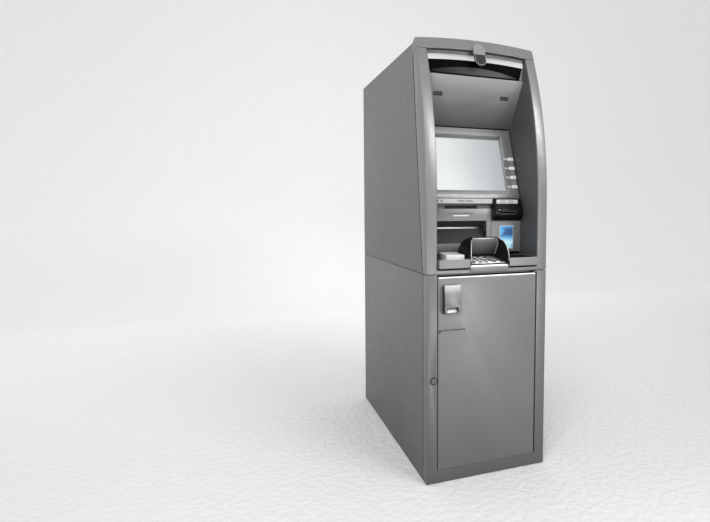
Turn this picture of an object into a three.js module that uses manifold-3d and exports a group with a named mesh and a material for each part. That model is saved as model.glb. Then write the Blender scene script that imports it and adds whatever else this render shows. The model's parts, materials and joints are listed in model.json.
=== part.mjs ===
// Free-standing lobby cash machine. Units are millimetres, +Z is up and the front faces -Y.
// The design frame has x = 0 at the middle of the width, y = 0 at the front plane of the
// lower front frame and z = 0 at the floor. The root group shifts it so that the origin
// sits at the centre of the footprint of the bounding box.
import * as THREE from 'three';
import { mergeVertices } from 'three/addons/utils/BufferGeometryUtils.js';
import Module from 'manifold-3d';

const wasm = await Module();
wasm.setup();

// ---------------------------------------------------------------- driving dimensions
const HALF_WIDTH = 240;
const DEPTH = 900;
const FRONT_REACH = 24; // how far the door handle stands out in front of y = 0
const SKIN = 2; // outer sheet metal
const FRAME_SKIN = 2.5; // front frame and fascia walls
const FLOOR_GAP = 2; // sheet metal stops this far above the floor
const SEAM_Z = 750; // joint between the safe cabinet and the upper cabinet
const SIDE_TOP = 1572;
const PART_GAP = 0.5; // running or assembly gap between neighbouring pieces

// Side view of the fascia: vertical up to BEND_Z, then one large arc leaning back.
const BEND_Z = 1000;
const ARC_RADIUS = 1500;
const CAP_CORNER_Z = 1588;
const CAP_ARCH = 13; // extra height of the cap in the middle of the width
const PILLAR_TOP = 1550;
const PILLAR_SLOPE = 23; // how far the pillars' top falls from front to rear
const PILLAR_INNER = 202; // half width of the fascia opening
const SILL_TOP = 766;
const LIP_ARCH = 9; // rise of the cap's lower edge and of the light under it
const LIP_REAR = 118;
const LIGHT = { half: 196, y0: 113, y1: 118, z0: 1516, z1: 1534 };
const VISOR = { y0: 114, y1: 120, footHalf: 181, foot: 1470, topHalf: 194, topZ: 1515 };
const POD = { halfWidth: 23, halfHeight: 44.5, thickness: 9, round: 3, z: 1537.5 };
const RUNNER = { z0: 1080, z1: 1106, x0: 208, x1: 221, y1: 480 }; // the fascia slides on these
const SIDE_SEAM = 3; // shadow gap between the fascia and the side panels
const SIDE_FRONT_BOTTOM = 42; // y of the upper side panels' front edge at the seam
const SIDE_FRONT_TOP = 149; // and at their top

// Lower front: frame, door, lock and handle.
const FRAME_DEPTH = 34;
const SIDE_FRONT_LOWER = 37;
const DOOR_HALF = 197;
const DOOR_OPENING_HALF = 200.5;
const DOOR_BOTTOM = 47.5;
const DOOR_TOP = 740;
const DOOR_RETURN = 16; // depth of the door's folded edges
const DOOR_BEVEL = 4;
const DOOR_EDGE_BEVEL = 2.5;
const DOOR_AXIS = { x: 193, y: 7 };
const HINGE_PIN_R = 2;
const LOCK = { x: -214, z: 374, r: 9.5 };
const HANDLE = { x0: -182, x1: -120, z0: 613, z1: 713, pivotY: -7, pivotZ: 703, wall: 3, lugR: 4, pinR: 2 };
const RAIL_TOP = 46; // top of the front frame's bottom rail
const FRAME_TOP = SEAM_Z - 1;
const FRAME_RETURN = 15; // depth of the stiles' inner folds
const PRESSED_LINE = { x1: -94, z: 553, h: 4, deep: 1.4 };
const BASE = { half: 237, y0: 35, y1: 895, top: 12, anchorX: 180, anchorY: [130, 820], anchorR: 9 };
const INLET = { x: -150, z: 90, w: 28, h: 20, y0: 887, floorY: 890, rim: 3 };
const VENTS = { rows: 9, pitch: 14, height: 5, z0: 1330, columns: [-95, 95], half: 70 };

// Safe.
const SAFE = { half: 228, y0: 75, y1: 886, z0: 12.3, z1: 748, wall: 12 };
const SAFE_OPENING = { x0: -178, x1: 146, z0: 60, z1: 700 };
const SAFE_DOOR = { x0: -190, x1: 158, y0: 60, y1: 74, z0: 48, z1: 712 };
const SAFE_AXIS = { x: 168, y: 64 };
const SAFE_HINGE_R = 7;
const SAFE_HINGES = [150, 610]; // heights of the two hinges
const KNUCKLE = { long: 20, half: 13.3, offsets: [-34, 14], pinR: 3 };
const SAFE_HANDLE = { x: -60, z: 420, hubR: 15, y0: 33, y1: 43, reach: 105, half: 8 };
const BOLT = { tipX: -172, heights: [200, 380, 560], y0: 90, y1: 102, half: 8 };
const BOLT_BAR = { x0: -111, x1: -99, z0: 180, z1: 580 };
const BOLT_GUIDE = { x0: -166, x1: -130, y1: 106, half: 12, heights: [200, 560] };
const THROAT_HOLE = { x0: -134, x1: 34, y0: 172, y1: 238 };
const FEEDER = { half: 150, y0: 130, y1: 560, z0: 430, z1: 690, throatGap: 6, throatTop: 893 };
const FEEDER_HEAD = { x0: -146, x1: 42, y0: 180, y1: 240, z0: 892, z1: 930 };
const CASSETTE = { half: 112, y0: 125, y1: 590, z0: 150, z1: 400, gripHalf: 50, gripZ: 340, gripH: 12 };
const COMPUTER = { half: 170, y0: 420, y1: 760, z1: 900 };

// Fascia recess, in the side view (y, z).
const CEILING_TOP = { y: 114, z: 1467 };
const CEILING_BOTTOM = { y: 217, z: 1299 };
const SCREEN_FOOT = { y: 124, z: 1019 };
const SCREEN_TILT = Math.atan2(CEILING_BOTTOM.y - SCREEN_FOOT.y, CEILING_BOTTOM.z - SCREEN_FOOT.z);
const LINER_HALF = 199.7; // inner face of the recess walls
const WINDOW = { x: 139, half: 18, y0: 140, y1: 170, z0: 1398, z1: 1412 }; // through the ceiling
const BEZEL = { half: 196, height: 290, depth: 8 };
const DISPLAY = { half: 158, z0: 20, z1: 262, deep: 14 };
const DISPLAY_REAR = { half: 120, z0: 60, z1: 230, deep: 20 };
const SCREEN = { half: 147, z0: 32, z1: 249, bevel: 13, slopeDeep: 5 };
const SIDE_KEY = { x: 183, z0: 48.5, pitch: 38.6, w: 24, h: 14, proud: 3, count: 4 };

// Service panel below the screen.
const PANEL_Y = 122;
const PANEL_BOTTOM = 812;
const STRIP = { z0: 996, z1: 1017.5, y: 112, x1: 72 };
const GROOVE_Z0 = 979;
const RECEIPT = { x0: -122, x1: 11, z0: 982, z1: 988 };
const CASH = { x0: -155, x1: 51, z0: 848, z1: 933, slotZ0: 901.5, slotZ1: 908.5, depth: 40 };
const CARD_SLOT = { x0: 100, x1: 158, z0: 962, z1: 967 };
const READER = { x0: 73, x1: 190, z0: 934, z1: 1017, upperY: 104, bulgeY: 90, y1: 320 };
const PRINTER = { x0: -140, x1: 30, y1: 240, z0: 941, z1: 1012 };
const PAPER_ROLL = { x0: -100, x1: -20, y: 278, z: 985, r: 40 };

// Keypad, its privacy shield and the two trays.
const KEYPAD = { half: 70, y: 4, z: 785, depth: 98, thickness: 6, tilt: THREE.MathUtils.degToRad(8) };
const KEY_COLUMNS = [-43, -17, 9, 42];
const KEY_ROWS = [15, 37.5, 60, 82.5];
const KEY = { w: 20, d: 17, proud: 3, body: 8 };
const TRAY = { x0: 79, x1: 196, y0: -12, y1: 118, z0: 770, z1: 801, wall: 3 };
const SCANNER = { x0: -158, x1: -88, y0: 18, y1: 100, frontZ: 812, backZ: 819 };
const SHIELD = { footZ: 780, crownZ: 876, footHalf: 77, topHalf: 58, flatHalf: 50, wall: 3 };
const SHIELD_SIDE = { frontY: -12, crownY: 40, backY: 106, frontZ: 790, backZ: 806 }; // its two side arcs
const SHIELD_PANEL = { topY: 42, topZ: 871, footY: 98, footZ: 804 }; // slanted inner face

// ---------------------------------------------------------------- solids
const CIRCLE = 24; // sides of a small round piece

// Turns a closed three.js geometry into a solid that can be joined and cut.
function solid(geometry) {
  const bare = geometry.index ? geometry.toNonIndexed() : geometry.clone();
  for (const name of Object.keys(bare.attributes)) {
    if (name !== 'position') bare.deleteAttribute(name);
  }
  const merged = mergeVertices(bare, 1e-4);
  return new wasm.Manifold(new wasm.Mesh({
    numProp: 3,
    vertProperties: new Float32Array(merged.attributes.position.array),
    triVerts: new Uint32Array(merged.index.array),
  }));
}

function geometryOf(body) {
  const mesh = body.getMesh();
  const geometry = new THREE.BufferGeometry();
  geometry.setAttribute('position', new THREE.BufferAttribute(new Float32Array(mesh.vertProperties), 3));
  geometry.setIndex(new THREE.BufferAttribute(new Uint32Array(mesh.triVerts), 1));
  geometry.computeVertexNormals();
  return geometry;
}

function box(x0, x1, y0, y1, z0, z1) {
  const geometry = new THREE.BoxGeometry(x1 - x0, y1 - y0, z1 - z0);
  return solid(geometry.translate((x0 + x1) / 2, (y0 + y1) / 2, (z0 + z1) / 2));
}

function outline(points) {
  return new THREE.Shape(points.map(([a, b]) => new THREE.Vector2(a, b)));
}

function extruded(shape, depth, options = {}) {
  return new THREE.ExtrudeGeometry(shape, { depth, bevelEnabled: false, curveSegments: 12, ...options });
}

// A side-view outline of (y, z) points, swept across the width from x0 to x1.
function acrossX(points, x0, x1, steps = 1) {
  const toSide = new THREE.Matrix4().set(0, 0, 1, x0, 1, 0, 0, 0, 0, 1, 0, 0, 0, 0, 0, 1);
  return solid(extruded(outline(points), x1 - x0, { steps }).applyMatrix4(toSide));
}

// A front-view outline of (x, z) points, or a shape, swept in depth from y0 to y1.
function acrossY(points, y0, y1) {
  const shape = Array.isArray(points) ? outline(points) : points;
  const toFront = new THREE.Matrix4().set(1, 0, 0, 0, 0, 0, -1, y1, 0, 1, 0, 0, 0, 0, 0, 1);
  return solid(extruded(shape, y1 - y0).applyMatrix4(toFront));
}

// A plan outline of (x, y) points, swept upwards from z0 to z1.
function upZ(points, z0, z1) {
  return solid(extruded(outline(points), z1 - z0).translate(0, 0, z0));
}

// Round bars along each axis.
function barX(r, x0, x1, y, z, sides = CIRCLE) {
  const bar = new THREE.CylinderGeometry(r, r, x1 - x0, sides).rotateZ(Math.PI / 2);
  return solid(bar.translate((x0 + x1) / 2, y, z));
}

function barY(r, y0, y1, x, z, sides = CIRCLE) {
  return solid(new THREE.CylinderGeometry(r, r, y1 - y0, sides).translate(x, (y0 + y1) / 2, z));
}

function barZ(r, z0, z1, x, y, sides = CIRCLE) {
  const bar = new THREE.CylinderGeometry(r, r, z1 - z0, sides).rotateX(Math.PI / 2);
  return solid(bar.translate(x, y, (z0 + z1) / 2));
}

function joined(...bodies) {
  return bodies.reduce((sum, body) => sum.add(body));
}

function cut(body, ...tools) {
  return tools.reduce((rest, tool) => rest.subtract(tool), body);
}

// ---------------------------------------------------------------- fascia side profile
function arcY(z) {
  const rise = Math.max(0, z - BEND_Z);
  return ARC_RADIUS - Math.sqrt(ARC_RADIUS ** 2 - rise ** 2);
}

// Points up the front curve between two heights, moved back by inset.
function frontCurve(z0, z1, inset = 0, steps = 20) {
  const points = [];
  if (z0 < BEND_Z) points.push([inset, z0]);
  const start = Math.max(z0, BEND_Z);
  for (let i = 0; i <= steps; i += 1) {
    const z = start + ((z1 - start) * i) / steps;
    points.push([arcY(z) + inset, z]);
  }
  return points;
}

// y of the upper side panels' slanted front edge at a height.
function sideFrontY(z) {
  const share = (z - SEAM_Z) / (SIDE_TOP - SEAM_Z);
  return SIDE_FRONT_BOTTOM + share * (SIDE_FRONT_TOP - SIDE_FRONT_BOTTOM);
}

// ---------------------------------------------------------------- cabinet
function basePlate() {
  const plate = box(-BASE.half, BASE.half, BASE.y0, BASE.y1, 0, BASE.top);
  const holes = [-BASE.anchorX, BASE.anchorX].flatMap((x) => BASE.anchorY.map(
    (y) => barZ(BASE.anchorR, -1, BASE.top + 1, x, y, 16)));
  return cut(plate, ...holes);
}

function sideLower(side) {
  const lip = 8;
  const top = SEAM_Z - 1.5;
  const sheet = box(HALF_WIDTH - SKIN, HALF_WIDTH, SIDE_FRONT_LOWER, DEPTH, FLOOR_GAP, top);
  const fold = box(HALF_WIDTH - lip, HALF_WIDTH, SIDE_FRONT_LOWER, SIDE_FRONT_LOWER + SKIN,
    BASE.top + 1, top);
  return mirrored(joined(sheet, fold), side);
}

// Upper side panel with the fixed rail that the fascia's runner slides beside.
function sideUpper(side) {
  const bottom = SEAM_Z + 0.5;
  const top = SIDE_TOP - 0.3;
  const sheet = acrossX([
    [sideFrontY(bottom), bottom], [DEPTH, bottom], [DEPTH, top], [sideFrontY(top), top],
  ], HALF_WIDTH - SKIN, HALF_WIDTH);
  const rail = box(223, HALF_WIDTH - SKIN / 2, 130, 620, RUNNER.z0 - 4, RUNNER.z1 + 4);
  return mirrored(joined(sheet, rail), side);
}

function mirrored(body, side) {
  return side > 0 ? body : body.mirror([1, 0, 0]);
}

// Plain panel with the cup of the power inlet.
function rearLower() {
  const { x, z, w, h, rim } = INLET;
  const half = HALF_WIDTH - SKIN - PART_GAP;
  const cup = box(x - w / 2 - rim, x + w / 2 + rim, INLET.y0, DEPTH, z - h / 2 - rim, z + h / 2 + rim);
  const socket = box(x - w / 2, x + w / 2, INLET.floorY, DEPTH + 1, z - h / 2, z + h / 2);
  const panel = box(-half, half, DEPTH - SKIN, DEPTH, BASE.top + SKIN, SEAM_Z - 1.5);
  return cut(joined(panel, cup), socket);
}

// Panel with two blocks of long vent slots near its top.
function rearUpper() {
  const half = HALF_WIDTH - SKIN - PART_GAP;
  const shape = outline([[-half, SEAM_Z + 0.5], [half, SEAM_Z + 0.5], [half, SIDE_TOP - 0.3],
    [-half, SIDE_TOP - 0.3]]);
  for (let row = 0; row < VENTS.rows; row += 1) {
    const z = VENTS.z0 + row * VENTS.pitch;
    for (const x of VENTS.columns) {
      const slot = new THREE.Path();
      slot.absarc(x + VENTS.half, z, VENTS.height / 2, -Math.PI / 2, Math.PI / 2);
      slot.absarc(x - VENTS.half, z, VENTS.height / 2, Math.PI / 2, (3 * Math.PI) / 2);
      shape.holes.push(slot);
    }
  }
  const toFront = new THREE.Matrix4().set(1, 0, 0, 0, 0, 0, -1, DEPTH, 0, 1, 0, 0, 0, 0, 0, 1);
  return solid(extruded(shape, SKIN, { curveSegments: 3 }).applyMatrix4(toFront));
}

function topPanel() {
  return box(-HALF_WIDTH, HALF_WIDTH, SIDE_FRONT_TOP + 1.5, DEPTH, SIDE_TOP, SIDE_TOP + SKIN);
}

// Stiles, bottom rail and a set-back top bar, all folded sheet, and the door's hinge pins.
function lowerFrontFrame() {
  const [edge, skin, bottom, top] = [DOOR_OPENING_HALF, FRAME_SKIN, FLOOR_GAP, FRAME_TOP];
  const channel = upZ([
    [edge, 0], [HALF_WIDTH, 0], [HALF_WIDTH, FRAME_DEPTH], [HALF_WIDTH - skin, FRAME_DEPTH],
    [HALF_WIDTH - skin, skin], [edge + skin, skin], [edge + skin, FRAME_RETURN], [edge, FRAME_RETURN],
  ], bottom, top);
  const rail = acrossX([
    [0, bottom], [FRAME_DEPTH - 2, bottom], [FRAME_DEPTH - 2, bottom + skin], [skin, bottom + skin],
    [skin, RAIL_TOP - skin], [FRAME_RETURN - 1, RAIL_TOP - skin], [FRAME_RETURN - 1, RAIL_TOP], [0, RAIL_TOP],
  ], -edge - 1, edge + 1);
  const topBar = box(1 - HALF_WIDTH, HALF_WIDTH - 1, 20, FRAME_DEPTH - 1, top - 6, top - 1);
  const tongue = box(DOOR_AXIS.x - 5, edge + 1, 3, 21, top - 5, top - 2);
  const pins = joined(
    barZ(HINGE_PIN_R, RAIL_TOP - 1, DOOR_BOTTOM + 6.5, DOOR_AXIS.x, DOOR_AXIS.y, 16),
    barZ(HINGE_PIN_R, DOOR_TOP - 7, top - 4, DOOR_AXIS.x, DOOR_AXIS.y, 16),
  );
  const frame = joined(channel, mirrored(channel, -1), rail, topBar, tongue, pins);
  return cut(frame, barY(LOCK.r + 0.5, -1, skin + 1, LOCK.x, LOCK.z));
}

// ---------------------------------------------------------------- cabinet door
// Shallow pan with folded edges, a stiffener on its back, lugs for the handle and a pressed line.
function cabinetDoor() {
  const edge = DOOR_EDGE_BEVEL;
  const block = upZ([[-DOOR_HALF, DOOR_RETURN], [-DOOR_HALF, edge], [-DOOR_HALF + edge, 0],
    [DOOR_HALF - edge, 0], [DOOR_HALF, edge], [DOOR_HALF, DOOR_RETURN]], DOOR_BOTTOM, DOOR_TOP);
  const topSlope = acrossX([[-1, DOOR_TOP - 9], [-1, DOOR_TOP + 1], [DOOR_BEVEL + 0.5, DOOR_TOP + 1],
    [DOOR_BEVEL, DOOR_TOP], [0, DOOR_TOP - 8]], -HALF_WIDTH, HALF_WIDTH);
  const hollow = box(-DOOR_HALF + SKIN, DOOR_HALF - SKIN, 4, DOOR_RETURN + 1,
    DOOR_BOTTOM + SKIN, DOOR_TOP - SKIN);
  const pan = cut(block, topSlope, hollow);
  const { pivotY, pivotZ, lugR, pinR } = HANDLE;
  const lugs = [HANDLE.x0 + 8, HANDLE.x1 - 14].map((x) => joined(
    box(x, x + 6, pivotY, 1, pivotZ - lugR, pivotZ + lugR), barX(lugR, x, x + 6, pivotY, pivotZ)));
  const pinHoles = [
    barZ(HINGE_PIN_R + 0.3, DOOR_BOTTOM - 1, DOOR_BOTTOM + SKIN + 1, DOOR_AXIS.x, DOOR_AXIS.y, 16),
    barZ(HINGE_PIN_R + 0.3, DOOR_TOP - SKIN - 1, DOOR_TOP + 1, DOOR_AXIS.x, DOOR_AXIS.y, 16),
    barX(pinR + 0.3, HANDLE.x0, HANDLE.x1, pivotY, pivotZ, 16),
  ];
  const line = box(-DOOR_HALF - 1, PRESSED_LINE.x1, -1, PRESSED_LINE.deep,
    PRESSED_LINE.z - PRESSED_LINE.h, PRESSED_LINE.z);
  return cut(joined(pan, doorStiffener(), ...lugs), ...pinHoles, line);
}

// Rectangle of upright strips welded to the back of the door's skin.
function doorStiffener() {
  const { half, y0, y1, z0, z1, sheet } = { half: 30, y0: 3, y1: 14, z0: 80, z1: 702, sheet: 2 };
  return joined(
    box(-half, half, y0, y1, z0, z0 + sheet), box(-half, half, y0, y1, z1 - sheet, z1),
    box(-half, -half + sheet, y0, y1, z0, z1), box(half - sheet, half, y0, y1, z0, z1));
}

// Hollow paddle that hinges at its top; the window at its foot is for the fingers.
function doorHandle() {
  const { x0, x1, z0, z1, pivotY, pivotZ, wall, pinR } = HANDLE;
  const face = (inset) => {
    const points = [];
    for (let i = 0; i <= 10; i += 1) {
      const t = i / 10;
      const bulge = 13 + 11 * Math.sin(Math.PI * (0.32 + 0.55 * t));
      points.push([inset - bulge, z0 + inset + t * (z1 - z0 - 2 * inset)]);
    }
    return points;
  };
  const back = -1.5;
  const shell = acrossX([...face(0), [-7.2, z1], [back, z1 - 7], [back, z0]], x0, x1);
  const inside = acrossX([...face(wall), [5, z1 - wall], [5, z0 + wall]], x0 + wall, x1 - wall);
  const window = box(x0 + 9, x1 - 9, -40, 0, z0 + 5, z0 + 22);
  return joined(cut(shell, inside, window), barX(pinR, x0 + 1, x1 - 1, pivotY, pivotZ, 16));
}

// Lock plug with a keyway; its cam hangs down and turns behind the door's folded edge.
function keyLock() {
  const { x, z, r } = LOCK;
  const cam = { half: 5, y0: 17, y1: 20.5, long: 22 };
  const keyway = { half: 1.2, tall: 5, deep: 5 };
  const plug = joined(barY(r, -2, cam.y0 + 1, x, z), barY(r + 2, -2, -0.4, x, z));
  const arm = joined(box(x - cam.half, x + cam.half, cam.y0, cam.y1, z - cam.long, z),
    barY(cam.half, cam.y0, cam.y1, x, z));
  return cut(joined(plug, arm),
    box(x - keyway.half, x + keyway.half, -3, keyway.deep, z - keyway.tall, z + keyway.tall));
}

// ---------------------------------------------------------------- safe
function safeBody() {
  const { half, y0, y1, z0, z1, wall } = SAFE;
  const shell = cut(
    box(-half, half, y0, y1, z0, z1),
    box(-half + wall, half - wall, y0 + wall, y1 - wall, z0 + wall, z1 - wall),
    box(SAFE_OPENING.x0, SAFE_OPENING.x1, y0 - 1, y0 + wall + 1, SAFE_OPENING.z0, SAFE_OPENING.z1),
    box(THROAT_HOLE.x0, THROAT_HOLE.x1, THROAT_HOLE.y0, THROAT_HOLE.y1, z1 - wall - 1, z1 + 1),
  );
  const { x, y } = SAFE_AXIS;
  const hinges = SAFE_HINGES.flatMap((z) => [
    ...KNUCKLE.offsets.map((offset) => z + offset).map((low) => joined(
      box(x - SAFE_HINGE_R, x + SAFE_HINGE_R, y, y0 + 1, low, low + KNUCKLE.long),
      barZ(SAFE_HINGE_R, low, low + KNUCKLE.long, x, y))),
    barZ(KNUCKLE.pinR, z - KNUCKLE.long, z + KNUCKLE.long, x, y, 16),
  ]);
  return joined(shell, ...hinges);
}

// Plate with knuckles on the right and guides for the bolt bar on its back.
function safeDoor() {
  const { x0, x1, y0, y1, z0, z1 } = SAFE_DOOR;
  const { x, y } = SAFE_AXIS;
  const { half, pinR } = KNUCKLE;
  const knuckles = SAFE_HINGES.map((z) => joined(
    box(x1 - 1, x, y0, y0 + 8, z - half, z + half), barZ(SAFE_HINGE_R, z - half, z + half, x, y)));
  const bores = SAFE_HINGES.map((z) => barZ(pinR + 0.3, z - half - 1, z + half + 1, x, y, 16));
  const guide = BOLT_GUIDE;
  const bore = BOLT.half + PART_GAP;
  const guides = guide.heights.map((height) => cut(
    box(guide.x0, guide.x1, y1 - 1, guide.y1, height - guide.half, height + guide.half),
    box(guide.x0 - 1, guide.x1 + 1, BOLT.y0 - PART_GAP, BOLT.y1 + PART_GAP, height - bore, height + bore)));
  return cut(joined(box(x0, x1, y0, y1, z0, z1), ...knuckles, ...guides), ...bores);
}

// Upright bar that carries the locking bolts and slides sideways in the door's guides.
function boltBar() {
  const { tipX, y0, y1, half } = BOLT;
  const bolts = BOLT.heights.map((z) => box(tipX, BOLT_BAR.x0 + 1, y0, y1, z - half, z + half));
  return joined(box(BOLT_BAR.x0, BOLT_BAR.x1, y0, y1, BOLT_BAR.z0, BOLT_BAR.z1), ...bolts);
}

function safeHandle() {
  const { x, z, hubR, y0, y1, reach, half } = SAFE_HANDLE;
  const hub = barY(hubR, y0 + 3, SAFE_DOOR.y0 - PART_GAP, x, z);
  const lever = box(x, x + reach, y0, y1, z - half, z + half);
  return joined(hub, lever, barY(half, y0, y1, x + reach, z));
}

// Feed unit in the safe with its throat rising through the safe's roof to the cash mouth.
function cashDispenser() {
  const { half, y0, y1, z0, z1, throatGap, throatTop } = FEEDER;
  const head = FEEDER_HEAD;
  return joined(
    box(-half, half, y0, y1, z0, z1),
    box(THROAT_HOLE.x0 + throatGap, THROAT_HOLE.x1 - throatGap, THROAT_HOLE.y0 + throatGap,
      THROAT_HOLE.y1 - throatGap, z1 - 1, throatTop),
    box(head.x0, head.x1, head.y0, head.y1, head.z0, head.z1),
  );
}

// Cash box with a grip on its front.
function cashCassette() {
  const { half, y0, y1, z0, z1, gripHalf, gripZ, gripH } = CASSETTE;
  const body = box(-half, half, y0, y1, z0, z1);
  const grip = box(-gripHalf, gripHalf, y0 - 10, y0 + 1, gripZ, gripZ + gripH);
  const ends = [-gripHalf, gripHalf - 8].map((x) => box(x, x + 8, y0 - 13, y0 + 1, gripZ, gripZ + gripH));
  return joined(body, grip, ...ends);
}

function computer() {
  return box(-COMPUTER.half, COMPUTER.half, COMPUTER.y0, COMPUTER.y1, SAFE.z1 + PART_GAP, COMPUTER.z1);
}

// ---------------------------------------------------------------- fascia shell
// One hollow pillar: front, outer side and inner side skins, open at the back.
function pillar(side) {
  const rear = (z) => sideFrontY(z) - SIDE_SEAM;
  const top = PILLAR_TOP;
  const rearTop = top - PILLAR_SLOPE;
  const bottom = SEAM_Z + 1;
  const block = acrossX([...frontCurve(bottom, top), [rear(rearTop), rearTop], [rear(bottom), bottom]],
    PILLAR_INNER, HALF_WIDTH);
  const hollow = acrossX([
    ...frontCurve(bottom + FRAME_SKIN, top - 4, FRAME_SKIN), [200, rearTop - 40], [200, bottom + FRAME_SKIN],
  ], PILLAR_INNER + FRAME_SKIN, HALF_WIDTH - FRAME_SKIN);
  const runner = box(RUNNER.x0, RUNNER.x1, 4, RUNNER.y1, RUNNER.z0, RUNNER.z1);
  return mirrored(joined(cut(block, hollow), runner), side);
}

// Pillars, the sill between them and the nose that carries the keypad's front edge.
function fasciaFrame() {
  const bottom = SEAM_Z + 1;
  const sill = cut(
    box(-PILLAR_INNER - 1, PILLAR_INNER + 1, 0, 36, bottom, SILL_TOP),
    box(-PILLAR_INNER - 2, PILLAR_INNER + 2, FRAME_SKIN, 40, bottom - 1, SILL_TOP - FRAME_SKIN));
  const nose = acrossX([[1, 754], [-4, 755], [-6, 771], [-3, 777], [24, 779], [24, 764], [1, 764]], -74, 74);
  return joined(pillar(-1), pillar(1), sill, nose);
}

// Bends a straight cross-width sweep upwards, highest in the middle of the width.
function arched(body, rise, half) {
  return body.warp((v) => {
    v[2] += rise * (1 - (v[0] / half) ** 2);
  });
}

// Hollow arched hood across the top of the fascia, with short skirts at its sides.
function fasciaCap() {
  const steps = 16;
  const seam = 1;
  const low = PILLAR_TOP - PILLAR_SLOPE - 3;
  const rearTop = SIDE_FRONT_TOP - 1;
  const section = (inset) => [
    ...frontCurve(low + 0.001, CAP_CORNER_Z - inset, inset, 8),
    [rearTop - inset, SIDE_TOP + 2 - inset], [rearTop - inset, low]];
  const hood = arched(acrossX(section(0), -HALF_WIDTH, HALF_WIDTH, steps), CAP_ARCH, HALF_WIDTH);
  const inside = arched(acrossX(section(FRAME_SKIN), FRAME_SKIN - HALF_WIDTH, HALF_WIDTH - FRAME_SKIN, steps),
    CAP_ARCH, HALF_WIDTH);
  const lipFront = arcY(PILLAR_TOP) + 1;
  const lip = arched(acrossX([[lipFront, PILLAR_TOP], [lipFront, PILLAR_TOP + 3],
    [LIP_REAR, PILLAR_TOP + 3], [LIP_REAR, PILLAR_TOP]], -PILLAR_INNER, PILLAR_INNER, steps),
  LIP_ARCH, PILLAR_INNER);
  const far = { below: 1400, back: 200, wide: 300 }; // well outside the cap, for the cutting shapes
  const mouth = arched(acrossX([[0, far.below], [0, PILLAR_TOP], [far.back, PILLAR_TOP],
    [far.back, far.below]], -PILLAR_INNER, PILLAR_INNER, steps), LIP_ARCH, PILLAR_INNER);
  const rear = sideFrontY(PILLAR_TOP) - SIDE_SEAM;
  const skirt = PILLAR_TOP - PILLAR_SLOPE + seam;
  const belowSkirt = acrossX([[0, far.below], [0, PILLAR_TOP + seam], [arcY(PILLAR_TOP), PILLAR_TOP + seam],
    [rear, skirt], [far.back, skirt], [far.back, far.below]], -far.wide, far.wide);
  const behind = acrossX([[sideFrontY(far.below) - 1, far.below], [sideFrontY(SIDE_TOP) - 1, SIDE_TOP],
    [far.back, SIDE_TOP], [far.back, far.below]], -far.wide, far.wide);
  return joined(cut(hood, inside, mouth, belowSkirt, behind), lip);
}

function capsule(halfWidth, halfHeight) {
  const shape = new THREE.Shape();
  const straight = halfHeight - halfWidth;
  shape.absarc(0, straight, halfWidth, 0, Math.PI);
  shape.absarc(0, -straight, halfWidth, Math.PI, 2 * Math.PI);
  return shape;
}

// Pill-shaped camera housing; its long axis is local z and its back is at local y = 0.
function cameraPod() {
  const { halfWidth, halfHeight, thickness, round } = POD;
  const shape = capsule(halfWidth - round, halfHeight - round);
  const geometry = extruded(shape, thickness - 2 * round, {
    bevelEnabled: true, bevelThickness: round, bevelSize: round, bevelSegments: 3 });
  return solid(geometry.translate(0, 0, round).rotateX(Math.PI / 2));
}

// Rectangle in the side view, swept across the width and arched like the cap's lower edge.
function archedBand({ y0, y1, z0, z1 }, half) {
  return arched(acrossX([[y0, z0], [y1, z0], [y1, z1], [y0, z1]], -half, half, 16), LIP_ARCH, PILLAR_INNER);
}

function lightStrip() {
  return archedBand(LIGHT, LIGHT.half);
}

// Gloss black band between the light and the ceiling: straight foot, arched top.
function visorBand() {
  const { y0, y1, footHalf, foot, topHalf, topZ } = VISOR;
  const band = archedBand({ y0, y1, z0: foot - 50, z1: topZ }, LIGHT.half);
  return band.intersect(acrossY([[-footHalf, foot], [footHalf, foot], [topHalf, topZ + 15],
    [-topHalf, topZ + 15]], y0 - 10, y1 + 10));
}

// Side walls and sloping ceiling of the user recess.
function recessLiner() {
  const [low, high] = [SILL_TOP + 6, PILLAR_TOP - 2];
  const wall = acrossX([
    ...frontCurve(low, high, 4, 16), [VISOR.y1 + 2, high], [VISOR.y1 + 2, CEILING_TOP.z],
    [CEILING_BOTTOM.y + 5, CEILING_BOTTOM.z], [SCREEN_FOOT.y + 12, SCREEN_FOOT.z], [SCREEN_FOOT.y + 6, low],
  ], LINER_HALF, LINER_HALF + SKIN);
  const ceiling = acrossX([
    [CEILING_TOP.y, CEILING_TOP.z], [CEILING_TOP.y + 2, CEILING_TOP.z + 1.5],
    [CEILING_BOTTOM.y + 2, CEILING_BOTTOM.z + 1.5], [CEILING_BOTTOM.y, CEILING_BOTTOM.z],
  ], -LINER_HALF - 1, LINER_HALF + 1);
  const windows = [-WINDOW.x, WINDOW.x].map((x) => box(
    x - WINDOW.half, x + WINDOW.half, WINDOW.y0, WINDOW.y1, WINDOW.z0, WINDOW.z1));
  return joined(cut(ceiling, ...windows), wall, mirrored(wall, -1));
}

// ---------------------------------------------------------------- screen assembly
// Local frame: z runs up the tilted face, y points into the machine.
function screenBezel() {
  const { half, height, depth } = BEZEL;
  const { half: w, z0, z1 } = SCREEN;
  const plate = box(-half, half, 0, depth, 0, height);
  const window = box(-w, w, -1, depth + 1, z0, z1);
  const [keyX, keyZ] = [SIDE_KEY.w / 2 + PART_GAP, SIDE_KEY.h / 2 + PART_GAP];
  const keyHoles = sideKeyPlaces().map(([x, z]) => box(
    x - keyX, x + keyX, -1, depth + 1, z - keyZ, z + keyZ));
  return cut(plate, window, screenFunnel(), ...keyHoles);
}

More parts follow.
